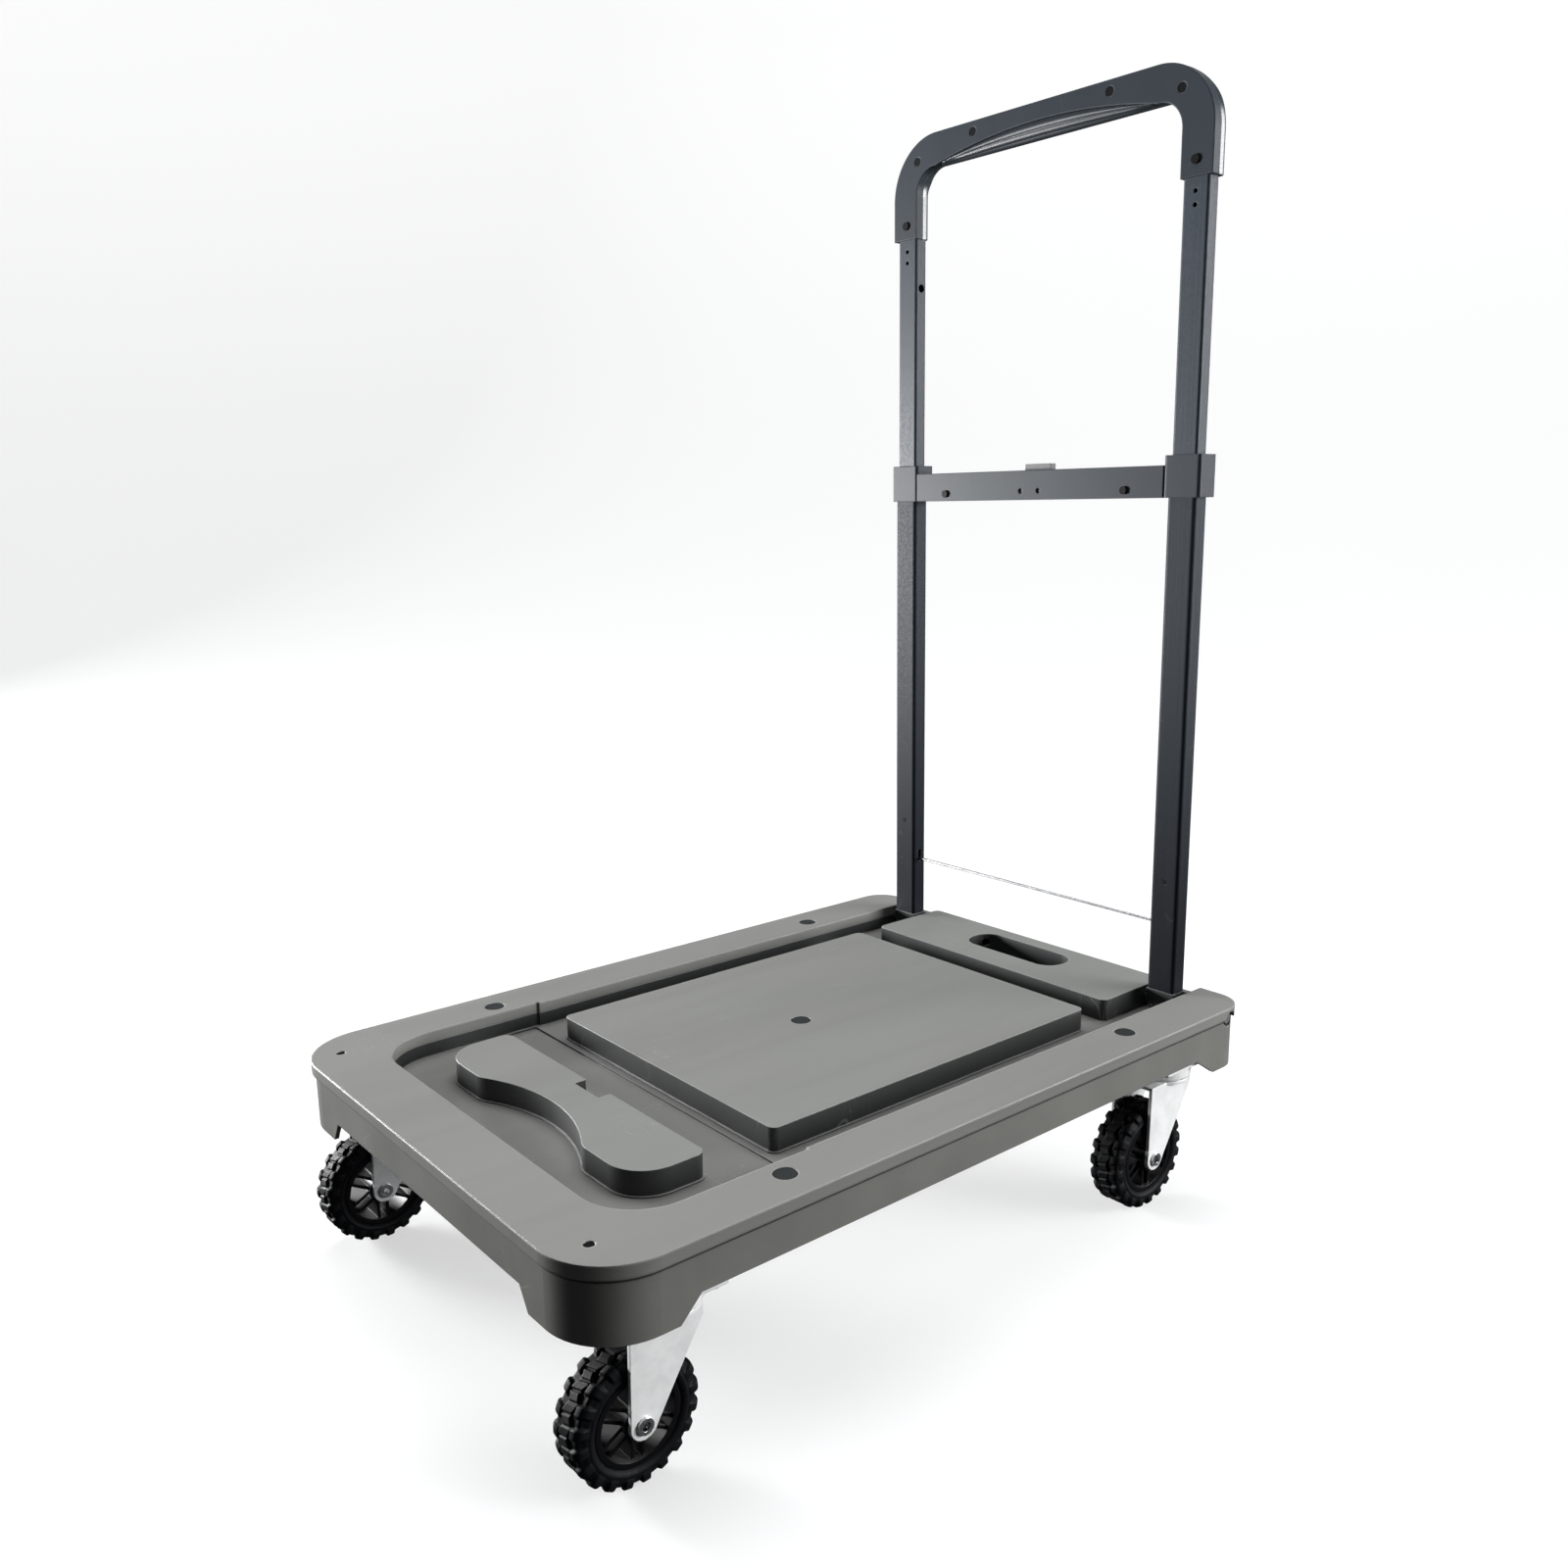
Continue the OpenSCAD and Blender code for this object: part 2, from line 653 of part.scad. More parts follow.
module fork() {
    front = -trail - fork_end_r;
    color([0.76, 0.77, 0.79]) difference() {
        union() {
            // crown round the kingpin
            translate([0, 0, crown_z]) cylinder(r = 22, h = fork_t);
            translate([-fork_out, front + 1.5, crown_z])
                cube([2 * fork_out, fork_back - 1.5 - front, fork_t]);
            // lower race
            translate([0, 0, crown_top - eps]) difference() {
                cylinder(r = 19.5, h = race_t + eps);
                translate([0, 0, -1]) cylinder(r = 12, h = race_t + 2);
            }
            // legs: upright in front and sloping up behind
            for (x = [-fork_out, fork_in])
                translate([x, 0, 0]) rotate([90, 0, 90]) linear_extrude(fork_t) {
                    translate([-trail, axle_z]) circle(fork_end_r);
                    polygon([[front, axle_z], [front + 1.5, crown_z + fork_t],
                        [fork_back, crown_z + fork_t], [fork_back, crown_z - 5],
                        [-trail + fork_end_r * 0.93, axle_z - 3.1], [-trail, axle_z]]);
                }
        }
        translate([0, 0, crown_z - 1]) cylinder(r = king_r + run_fit, h = fork_t + 2);
        x_rod(-fork_out - 1, fork_out + 1, -trail, axle_z, axle_d / 2 + run_fit);
    }
}

boss_r = axle_d / 2 + 6;
washer_t = 1;
rivet_head_t = 1.7;
rivet_head_r = axle_d * 0.62;
rivet_bore_r = axle_d * 0.33;

// hollow rivet with a head at each end and a washer on each side of the hub
module axle() {
    end = fork_out + rivet_head_t;
    color([0.66, 0.67, 0.69]) translate([0, -trail, axle_z]) rotate([0, 90, 0]) difference() {
        union() {
            translate([0, 0, -end]) cylinder(d = axle_d, h = 2 * end);
            for (s = [0, 1]) mirror([0, 0, s]) {
                translate([0, 0, fork_out]) cylinder(r = rivet_head_r, h = rivet_head_t);
                translate([0, 0, fork_in - washer_t]) cylinder(r = boss_r - 1.2, h = washer_t);
            }
        }
        translate([0, 0, -end - 1]) cylinder(r = rivet_bore_r, h = 2 * end + 2);
    }
}

hub_r = wheel_d / 2 - tyre_t;
rim_t = 3.4;
spoke_pairs = 6;
boss_half = fork_in - washer_t - 0.3;

module hub() {
    w = tyre_w - 3;
    spoke_w = w - 4;
    color([0.09, 0.09, 0.1]) translate([0, -trail, axle_z]) rotate([0, 90, 0]) difference() {
        union() {
            difference() {
                translate([0, 0, -w / 2]) cylinder(r = hub_r, h = w);
                translate([0, 0, -w / 2 - 1]) cylinder(r = hub_r - rim_t, h = w + 2);
            }
            translate([0, 0, -boss_half]) cylinder(r = boss_r, h = 2 * boss_half);
            for (i = [0:spoke_pairs - 1], s = [-1, 1])
                rotate(360 * i / spoke_pairs) translate([boss_r - 2, s * 3.4 - 1.1, -spoke_w / 2])
                    cube([hub_r - rim_t - boss_r + 3, 2.2, spoke_w]);
        }
        translate([0, 0, -fork_in]) cylinder(r = axle_d / 2 + run_fit, h = 2 * fork_in);
    }
}

module tyre() {
    r = wheel_d / 2;
    w = tyre_w / 2;
    color([0.07, 0.07, 0.07]) translate([0, -trail, axle_z]) rotate([0, 90, 0])
        rotate_extrude($fn = 96) polygon([[hub_r, -w + 2], [hub_r + 4, -w], [r - 5, -w], [r, -w + 4],
            [r, w - 4], [r - 5, w], [hub_r + 4, w], [hub_r, w - 2]]);
}

// ---------- lower handle ----------

// rectangular tube section with rounded edges
module tube_plan(w, d, r) {
    round_plan(-w / 2, -d / 2, w / 2, d / 2, r);
}

module lower_tube(s) {
    z0 = pivot_z + shoe_h;
    slot_h = release_travel + wire_d + 2;
    color([0.20, 0.23, 0.26]) translate([s * tube_x, pivot_y, 0]) difference() {
        translate([0, 0, z0]) linear_extrude(lower_top - z0) difference() {
            tube_plan(tube_w, tube_d, 3);
            tube_plan(tube_in_w, tube_in_d, 1.5);
        }
        // slot for the release wire and hole for the lock pin, on the inner face
        translate([-s * tube_w / 2 - 3, -wire_d / 2 - 0.6, wire_z - wire_d / 2 - 1])
            cube([6, wire_d + 1.2, slot_h]);
        x_rod(-s * tube_w / 2 - 3, -s * tube_w / 2 + 3, 0, lock_z, lock_pin_r + loose);
        y_rod(0, -tube_d, tube_d, stop_pin_z, stop_pin_r + run_fit);
    }
}

// end fitting that carries the tube on the pivot bolt
module pivot_shoe(s) {
    z1 = pivot_z + 34;
    color([0.10, 0.11, 0.12]) translate([s * tube_x, pivot_y, 0]) difference() {
        union() {
            x_rod(-tube_w / 2, tube_w / 2, 0, pivot_z, shoe_r);
            translate([-tube_w / 2, -tube_d / 2, pivot_z]) cube([tube_w, tube_d, shoe_h]);
            translate([0, 0, pivot_z + shoe_h - eps]) linear_extrude(z1 - pivot_z - shoe_h)
                tube_plan(tube_in_w - 0.4, tube_in_d - 0.4, 1.5);
        }
        x_rod(-tube_w, tube_w, 0, pivot_z, pivot_d / 2 + run_fit);
        latch_slot(pivot_z - shoe_r - 1, 60);
    }
}

// sheet that slides in the shoe and locks the handle upright
module latch_slider(s) {
    tip_z = pivot_z - shoe_r + 0.4;
    color([0.66, 0.67, 0.69]) translate([s * tube_x, pivot_y, 0]) difference() {
        translate([-slider_t / 2, -slider_w / 2, tip_z])
            cube([slider_t, slider_w, slider_top - tip_z]);
        // slot round the pivot bolt
        translate([-slider_t, -pivot_d / 2 - loose, pivot_z - release_travel - pivot_d / 2 - 0.5])
            cube([2 * slider_t, pivot_d + 2 * loose, release_travel + pivot_d + 1]);
        x_rod(-slider_t, slider_t, 0, wire_z, wire_d / 2 + run_fit);
    }
}

module release_wire() {
    end = tube_x + slider_t / 2 + 1;
    color([0.65, 0.66, 0.68]) {
        x_rod(-end - 1, end + 1, pivot_y, wire_z, wire_d / 2);
        for (s = [-1, 1])
            x_rod(s * (end + 2) - 1.5, s * (end + 2) + 1.5, pivot_y, wire_z, wire_d / 2 + 1.3);
    }
}

module latch_springs() {
    color([0.7, 0.71, 0.72]) for (s = [-1, 1])
        translate([s * tube_x, pivot_y, slider_top + 0.05])
            coil(3.6, 0.5, stop_pin_z - stop_pin_r - slider_top - 0.1, 9);
}

module spring_stop_pins() {
    color([0.6, 0.6, 0.62]) for (s = [-1, 1])
        y_rod(s * tube_x, pivot_y - tube_d / 2 - 0.2, pivot_y + tube_d / 2 + 0.2,
            stop_pin_z, stop_pin_r);
}

module collar(s) {
    in = tube_w / 2 + collar_in;
    out = tube_w / 2 + collar_out;
    x0 = s > 0 ? -in : -out;
    color([0.13, 0.14, 0.16]) translate([s * tube_x, pivot_y, 0]) difference() {
        translate([0, 0, collar_z]) linear_extrude(collar_h)
            round_plan(x0, -collar_front, x0 + in + out, collar_back, 2.5);
        // seat of the lower tube
        translate([0, 0, collar_z - 1]) linear_extrude(lower_top - collar_z + 1)
            tube_plan(tube_w + 0.1, tube_d + 0.1, 3.05);
        // guide for the upper tube
        translate([0, 0, collar_z]) linear_extrude(collar_h + 1)
            tube_plan(upper_w + 2 * loose, upper_d + 2 * loose, 1.6);
        x_rod(-s * in - 3, -s * in + 6, 0, lock_z, lock_pin_r + loose);
    }
}

// half of the crossbar between the collars, hollow towards the parting plane
module crossbar_shell(y0, y1, open_y0, open_y1) {
    difference() {
        translate([-bar_in, y0, collar_z]) cube([2 * bar_in, y1 - y0, crossbar_h]);
        translate([-bar_in + shell_t, open_y0, collar_z + shell_t])
            cube([2 * (bar_in - shell_t), open_y1 - open_y0, crossbar_h - 2 * shell_t]);
        // openings for the lock pins
        x_rod(-bar_in - 1, bar_in + 1, 0, lock_z, lock_pin_r + loose);
        // opening for the button tab
        translate([-tab_half - 0.4, button_y - 2.4, crossbar_top - shell_t - 1])
            cube([2 * tab_half + 0.8, button_t + 4.2, shell_t + 2]);
    }
}

bar_screw_x = 91;
bar_screw_z = collar_z + 6;

module crossbar_front() {
    color([0.14, 0.15, 0.17]) translate([0, pivot_y, 0]) difference() {
        union() {
            crossbar_shell(-collar_front, 0, shell_t - collar_front, 1);
            for (s = [-1, 1]) y_rod(s * bar_screw_x, -collar_front + 1, -lock_pin_r - 1,
                bar_screw_z, 3);
        }
        for (s = [-1, 1])
            y_rod(s * bar_screw_x, -collar_front - 1, 1, bar_screw_z, screw_r + loose);
        for (s = [-1, 1])
            y_rod(s * 9, -collar_front - 1, -collar_front + 1.2, collar_z + 7, 2);
    }
}

module crossbar_back() {
    color([0.14, 0.15, 0.17]) translate([0, pivot_y, 0]) difference() {
        union() {
            crossbar_shell(0, collar_back, -1, collar_back - shell_t);
            for (s = [-1, 1]) y_rod(s * bar_screw_x, 0, collar_back - 1, bar_screw_z, 3.4);
        }
        for (s = [-1, 1])
            y_rod(s * bar_screw_x, -1, collar_back - 3, bar_screw_z, screw_r);
        x_rod(-bar_in - 1, bar_in + 1, 0, lock_z, lock_pin_r + loose);
    }
}

module crossbar_screws() {
    color([0.5, 0.5, 0.52]) for (s = [-1, 1]) translate([0, pivot_y, 0]) {
        y_rod(s * bar_screw_x, -collar_front - 1.6, -collar_front, bar_screw_z, 3);
        y_rod(s * bar_screw_x, -collar_front - eps, collar_back - 4, bar_screw_z,
            screw_r - run_fit);
    }
}

// the button carries two sloping slots that draw the lock pins inwards
module lock_button() {
    z0 = lock_z - peg_r - 2.2;
    z1 = crossbar_top - shell_t - 0.2;
    color([0.08, 0.08, 0.09]) translate([0, pivot_y + button_y, 0]) difference() {
        union() {
            translate([-button_half, 0, z0]) cube([2 * button_half, button_t, z1 - z0]);
            translate([-tab_half, 0, z1 - 2]) cube([2 * tab_half, button_t, 4 + shell_t]);
            translate([-tab_half, -2, crossbar_top + 0.2])
                cube([2 * tab_half, button_t + 3.4, tab_rise - 0.2]);
        }
        for (s = [-1, 1]) peg_slot(s);
        translate([-4, -1, z0 - 1]) cube([8, button_t + 2, z1 - z0 - 2]);
    }
}

module peg_slot(s) {
    r = peg_r + loose;
    translate([0, -1, 0]) rotate([-90, 0, 0]) linear_extrude(button_t + 2) {
        translate([s * peg_x, -lock_z]) circle(r);
        translate([s * (peg_x - lock_travel), -lock_z - lock_travel]) circle(r);
        translate([s * peg_x, -lock_z]) rotate(s > 0 ? -135 : -45)
            translate([0, -r]) square([lock_travel * sqrt(2), 2 * r]);
    }
}

module button_spring() {
    z0 = collar_z + shell_t;
    z1 = crossbar_top - shell_t - 0.2 - 3;
    color([0.7, 0.71, 0.72]) translate([0, pivot_y + button_y + button_t / 2, z0 + 0.05])
        coil(2.9, 0.45, z1 - z0 - 0.1, 7);
}

module lock_pin(s) {
    color([0.68, 0.69, 0.71]) translate([0, pivot_y, 0]) {
        if (s > 0) x_rod(peg_x - 3, lock_tip, 0, lock_z, lock_pin_r - 0.4);
        if (s < 0) x_rod(-lock_tip, -peg_x + 3, 0, lock_z, lock_pin_r - 0.4);
        y_rod(s * peg_x, 0, peg_len, lock_z, peg_r);
    }
}

// ---------- telescopic part ----------

leg_screw_z = grip_leg_z + 11;

module upper_tube(s) {
    color([0.24, 0.27, 0.31]) translate([s * tube_x, pivot_y, 0]) difference() {
        translate([0, 0, upper_foot]) linear_extrude(upper_top - upper_foot) difference() {
            tube_plan(upper_w, upper_d, 2);
            tube_plan(upper_w - 2 * tube_t, upper_d - 2 * tube_t, 0.8);
        }
        // lock holes for the long and the short setting
        for (z = [lock_z, lock_z + travel])
            x_rod(-s * upper_w / 2 - 2, -s * upper_w / 2 + 2, 0, z, lock_pin_r + 0.2);
        // small holes in the front wall
        for (z = [grip_leg_z - 9, grip_leg_z - 18])
            y_rod(0, -upper_d, 0, z, 1.6);
        y_rod(0, -upper_d, upper_d, leg_screw_z, screw_r + loose);
    }
}

module tube_foot(s) {
    color([0.06, 0.06, 0.07]) translate([s * tube_x, pivot_y, 0]) {
        translate([0, 0, upper_foot - 14]) linear_extrude(14)
            tube_plan(tube_in_w - 0.5, tube_in_d - 0.5, 1.4);
        translate([0, 0, upper_foot - eps]) linear_extrude(16)
            tube_plan(upper_w - 2 * tube_t - 0.3, upper_d - 2 * tube_t - 0.3, 0.6);
    }
}

// front outline of the grip moved in by inset
module grip_plan(inset) {
    out_r = 47 - inset;
    in_r = grip_in_r + inset;
    w = grip_out - inset;
    iw = grip_in + inset;
    z0 = grip_leg_z + inset;
    z1 = grip_top - inset;
    zi = grip_bar_z + inset;
    difference() {
        union() {
            translate([-w, z0]) square([2 * w, z1 - out_r - z0]);
            intersection() {
                translate([-w, z0]) square([2 * w, z1 - z0]);
                union() {
                    translate([-w + out_r, z0]) square([2 * (w - out_r), z1 - z0]);
                    for (s = [-1, 1])
                        translate([s * (w - out_r), z1 - out_r]) circle(out_r, $fn = 96);
                }
            }
        }
        translate([-iw, z0 - 10]) square([2 * iw, zi - in_r - z0 + 10]);
        translate([-iw + in_r, z0 - 10]) square([2 * (iw - in_r), zi - z0 + 10]);
        for (s = [-1, 1]) translate([s * (iw - in_r), zi - in_r]) circle(in_r);
    }
}

grip_screw_places = [for (s = [-1, 1], p = [[tube_x, leg_screw_z], [grip_out - 27, grip_top - 19],
    [66, grip_top - 8]]) [s * p[0], p[1]]];

// lens under the front face of the bar, where the back shell comes forward; its arc
// meets the lower edge of the bar just inside the inner corners
module grip_lens(inset) {
    half = grip_in - grip_in_r;
    rise = grip_h - grip_face_h;
    drop = 0.3;
    r = (half * half + pow(rise + drop, 2)) / (2 * (rise + drop));
    intersection() {
        translate([0, grip_bar_z + rise - r]) circle(r - inset, $fn = 256);
        translate([-half, grip_bar_z - 2]) square([2 * half, grip_h]);
    }
}

module grip_front() {
    color([0.21, 0.24, 0.28]) translate([0, pivot_y, 0]) difference() {
        union() {
            difference() {
                rotate([90, 0, 0]) linear_extrude(grip_front_d) difference() {
                    grip_plan(0);
                    grip_lens(0);
                }
                translate([0, 1, 0]) rotate([90, 0, 0])
                    linear_extrude(grip_front_d - shell_t + 1) difference() {
                        grip_plan(shell_t);
                        grip_lens(-shell_t);
                    }
            }
            for (p = grip_screw_places) if (p[1] > upper_top + 4)
                y_rod(p[0], -grip_front_d + 1, 0, p[1], screw_r + 2);
        }
        for (p = grip_screw_places)
            y_rod(p[0], -grip_front_d - 1, 1, p[1], screw_r + loose);
        for (p = grip_screw_places) if (p[1] > upper_top + 4)
            y_rod(p[0], -grip_front_d - 1, -grip_front_d + 1.4, p[1], 3.4);
        for (s = [-1, 1]) grip_tube_hole(s);
    }
}

// room for a tube in a grip leg
module grip_tube_hole(s) {
    translate([s * tube_x, 0, grip_leg_z - 1]) linear_extrude(upper_top - grip_leg_z + 1.5)
        tube_plan(upper_w + 0.3, upper_d + 0.3, 2.1);
}

// side outline of the back shell moved in by inset: thin at the legs, thick at the bar
module grip_back_side(inset) {
    z1 = grip_bar_z - 16;
    z2 = grip_bar_z - 2;
    polygon([[-1, grip_leg_z - 1], [grip_leg_d - inset, grip_leg_z - 1],
        [grip_leg_d - inset, z1 + inset], [grip_back_d - inset, z2 + inset],
        [grip_back_d - inset, grip_top + 1], [-1, grip_top + 1]]);
}

// back half of the grip moved in by inset
module grip_back_body(inset) {
    intersection() {
        translate([0, grip_back_d, 0]) rotate([90, 0, 0])
            linear_extrude(grip_back_d + (inset > 0 ? 1 : 0)) grip_plan(inset);
        translate([-grip_out - 1, 0, 0]) rotate([90, 0, 90]) linear_extrude(2 * grip_out + 2)
            grip_back_side(inset);
    }
}

module grip_back() {
    color([0.16, 0.18, 0.21]) translate([0, pivot_y, 0]) difference() {
        union() {
            difference() {
                grip_back_body(0);
                grip_back_body(shell_t);
            }
            // lower part of the bar, under the front shell
            rotate([90, 0, 0]) linear_extrude(grip_front_d - 1) intersection() {
                grip_lens(0.1);
                grip_plan(0);
            }
            for (p = grip_screw_places) if (p[1] > upper_top + 4)
                y_rod(p[0], 0, grip_back_d - 1, p[1], screw_r + 2);
        }
        for (p = grip_screw_places)
            y_rod(p[0], -1, grip_back_d - shell_t, p[1], screw_r);
        for (s = [-1, 1]) grip_tube_hole(s);
    }
}

module grip_screws() {
    color([0.3, 0.31, 0.33]) for (p = grip_screw_places) translate([0, pivot_y, 0]) {
        // heads are sunk in the bar and stand on the face of the legs
        y0 = -grip_front_d + (p[1] > upper_top + 4 ? 0.2 : -1.2);
        y_rod(p[0], y0, y0 + 1.2, p[1], 3.3);
        y_rod(p[0], y0 + 1, grip_leg_d - 2.5, p[1], screw_r - run_fit);
    }
}

// ---------- assembly ----------

module at_caster(s, y) {
    translate([s * caster_x, y, 0]) children();
}

rim_cap();
skirt_frame();
deck_tray();
platform_panel();
front_pad();
rear_panel();
rail_plugs();
centre_plug();
rim_screws();
front_screws();
pivot_bolts();
pivot_nuts();
latch_strikers();
caster_plates();
caster_screws();
kingpins();
swivel_balls();
lower_tube(-1);  // lower_tube_left
lower_tube(1);  // lower_tube_right
pivot_shoe(-1);  // pivot_shoe_left
pivot_shoe(1);  // pivot_shoe_right
collar(-1);  // collar_left
collar(1);  // collar_right
crossbar_front();
crossbar_back();
crossbar_screws();
spring_stop_pins();
release_wire();
latch_slider(-1);  // latch_slider_left
latch_slider(1);  // latch_slider_right
latch_springs();
lock_button();
button_spring();
lock_pin(-1);  // lock_pin_left
lock_pin(1);  // lock_pin_right
upper_tube(-1);  // upper_tube_left
upper_tube(1);  // upper_tube_right
tube_foot(-1);  // tube_foot_left
tube_foot(1);  // tube_foot_right
grip_front();
grip_back();
grip_screws();
at_caster(-1, front_swivel) fork();  // fork_front_left
at_caster(-1, front_swivel) axle();  // axle_front_left
at_caster(-1, front_swivel) hub();  // hub_front_left
at_caster(-1, front_swivel) tyre();  // tyre_front_left
at_caster(1, front_swivel) fork();  // fork_front_right
at_caster(1, front_swivel) axle();  // axle_front_right
at_caster(1, front_swivel) hub();  // hub_front_right
at_caster(1, front_swivel) tyre();  // tyre_front_right
at_caster(-1, rear_swivel) fork();  // fork_rear_left
at_caster(-1, rear_swivel) axle();  // axle_rear_left
at_caster(-1, rear_swivel) hub();  // hub_rear_left
at_caster(-1, rear_swivel) tyre();  // tyre_rear_left
at_caster(1, rear_swivel) fork();  // fork_rear_right
at_caster(1, rear_swivel) axle();  // axle_rear_right
at_caster(1, rear_swivel) hub();  // hub_rear_right
at_caster(1, rear_swivel) tyre();  // tyre_rear_right
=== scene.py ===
# Folding platform cart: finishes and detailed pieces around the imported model.
# Metres, X across the deck, -Y the front, Z up from the floor.
import math

import bmesh
import bpy
import numpy as np
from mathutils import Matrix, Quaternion, Vector


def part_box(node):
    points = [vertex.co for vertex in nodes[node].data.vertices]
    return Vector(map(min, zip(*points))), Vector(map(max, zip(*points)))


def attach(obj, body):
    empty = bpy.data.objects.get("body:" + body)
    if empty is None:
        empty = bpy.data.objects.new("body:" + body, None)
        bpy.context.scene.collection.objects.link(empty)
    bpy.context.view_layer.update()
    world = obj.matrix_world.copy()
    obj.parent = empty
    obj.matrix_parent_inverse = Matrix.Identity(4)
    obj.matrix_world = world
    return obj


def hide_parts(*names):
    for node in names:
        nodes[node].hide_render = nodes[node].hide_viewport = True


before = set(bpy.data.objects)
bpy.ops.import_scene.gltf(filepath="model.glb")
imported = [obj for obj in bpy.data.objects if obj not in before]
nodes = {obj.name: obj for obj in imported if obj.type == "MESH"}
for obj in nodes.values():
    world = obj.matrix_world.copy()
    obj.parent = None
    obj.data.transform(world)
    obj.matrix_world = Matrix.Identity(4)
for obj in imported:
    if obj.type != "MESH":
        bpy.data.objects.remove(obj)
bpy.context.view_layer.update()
print("cad nodes:", len(nodes))


# camera, floor and lights

cameraValues = {
    "place": (0.7211, -0.5871, 0.5176),
    "azimuth": 50.64,
    "elevation": 11.78,
    "roll": -0.90,
    "lens": 30.99,
}


def makeCamera(v):
    turn, drop = math.radians(v["azimuth"]), math.radians(v["elevation"])
    level = math.cos(drop)
    back = Vector((math.sin(turn) * level, -math.cos(turn) * level, math.sin(drop)))
    data = bpy.data.cameras.new("studioCamera")
    data.lens = v["lens"]
    data.sensor_width = 36
    data.clip_start, data.clip_end = 0.01, 60
    camera = bpy.data.objects.new("studioCamera", data)
    camera.rotation_mode = "QUATERNION"
    camera.location = v["place"]
    straight = (-back).to_track_quat("-Z", "Y")
    camera.rotation_quaternion = straight @ Quaternion((0, 0, 1), math.radians(v["roll"]))
    bpy.context.scene.collection.objects.link(camera)
    bpy.context.scene.camera = camera


def meshFromGrid(name, points, closeRound=False, closeAcross=False):
    # quads between neighbouring points of a rows x columns x 3 array, wrapping where asked
    rows, columns = points.shape[:2]
    index = np.arange(rows * columns).reshape(rows, columns)
    down = np.concatenate([index, index[:1]]) if closeRound else index
    right = np.concatenate([down, down[:, :1]], axis=1) if closeAcross else down
    corners = [right[:-1, :-1], right[1:, :-1], right[1:, 1:], right[:-1, 1:]]
    quads = np.stack(corners, axis=-1).reshape(-1, 4)
    mesh = bpy.data.meshes.new(name)
    mesh.vertices.add(rows * columns)
    mesh.vertices.foreach_set("co", points.reshape(-1).astype(np.float32))
    mesh.loops.add(quads.size)
    mesh.loops.foreach_set("vertex_index", quads.reshape(-1).astype(np.int32))
    mesh.polygons.add(len(quads))
    mesh.polygons.foreach_set("loop_start", np.arange(0, quads.size, 4, dtype=np.int32))
    mesh.polygons.foreach_set("use_smooth", np.full(len(quads), True))
    mesh.update(calc_edges=True)
    mesh.validate()
    made = bpy.data.objects.new(name, mesh)
    bpy.context.scene.collection.objects.link(made)
    return made


floorValues = {
    "flat": 1.6, "bend": 1.6, "wall": 2.6, "drop": 0.0004, "floorRings": 14,
    "colour": (0.40, 0.405, 0.41), "glow": (0.60, 0.90),
}


def makeFloor(v):
    # a profile turned round Z: flat disc, quarter circle, upright wall
    arc = np.linspace(0, math.pi / 2, 24)
    radius = np.concatenate([np.linspace(0.001, v["flat"], 12), v["flat"] + v["bend"] * np.sin(arc[1:]),
                             np.full(4, v["flat"] + v["bend"])])
    height = np.concatenate([np.zeros(12), v["bend"] * (1 - np.cos(arc[1:])),
                             v["bend"] + np.linspace(0.1, v["wall"], 4)])
    around = np.linspace(0, 2 * math.pi, 96, endpoint=False)[:, None]
    level = height + 0 * around - v["drop"]
    points = np.stack([radius * np.cos(around), radius * np.sin(around), level], axis=-1)
    split = v["floorRings"]
    for name, part in (("studioFloor", points[:, :split]), ("studioWall", points[:, split - 1:])):
        made = meshFromGrid(name, part[:, ::-1], closeRound=True)
        made.data.materials.append(plainFloor)
        made.visible_diffuse = made.visible_glossy = False


lightValues = {
    "topSoftbox": {"place": (-0.35, 0.35, 2.4), "aim": (0, 0, 0.1), "size": (2.2, 1.8), "power": 56},
    "leftSoftbox": {"place": (-2.0, -1.0, 0.42), "aim": (0, -0.25, 0.15), "size": (0.7, 0.5),
                    "power": 125},
    "gripSoftbox": {"place": (1.0, 1.55, 1.25), "aim": (0.15, 0.27, 0.75), "size": (0.5, 0.6),
                    "power": 7},
    "rearRightSoftbox": {"place": (1.75, 1.4, 0.6), "aim": (0.15, 0, 0.25), "size": (1.1, 1.0),
                         "power": 66},
}
worldValues = {"light": 0.05, "backdrop": 1.0}


def makeLights(values):
    for name, v in values.items():
        data = bpy.data.lights.new(name, "AREA")
        data.shape = "RECTANGLE"
        data.size, data.size_y = v["size"]
        data.energy = v["power"]
        lamp = bpy.data.objects.new(name, data)
        lamp.location = v["place"]
        lamp.visible_camera = False
        toward = Vector(v["aim"]) - Vector(v["place"])
        lamp.rotation_euler = toward.to_track_quat("-Z", "Y").to_euler()
        bpy.context.scene.collection.objects.link(lamp)


def makeWorld(v):
    # dim even light for the object, a pale backdrop for the camera
    world = bpy.data.worlds.new("paleStudio")
    world.use_nodes = True
    tree = world.node_tree
    tree.nodes.clear()
    dim = add(tree, "Background", {"Color": (0.93, 0.96, 1, 1), "Strength": v["light"]})
    pale = add(tree, "Background", {"Color": (1, 1, 1, 1), "Strength": v["backdrop"]})
    path = add(tree, "LightPath")
    seen = path.outputs["Is Camera Ray"]
    both = add(tree, "MixShader", {0: seen, 1: dim.outputs[0], 2: pale.outputs[0]})
    add(tree, "OutputWorld", {"Surface": both.outputs[0]})
    bpy.context.scene.world = world


# node helpers

def feed(tree, made, sockets):
    # links where the value is a socket, plain values elsewhere
    for name, value in sockets.items():
        if isinstance(value, bpy.types.NodeSocket):
            tree.links.new(value, made.inputs[name])
        else:
            made.inputs[name].default_value = value


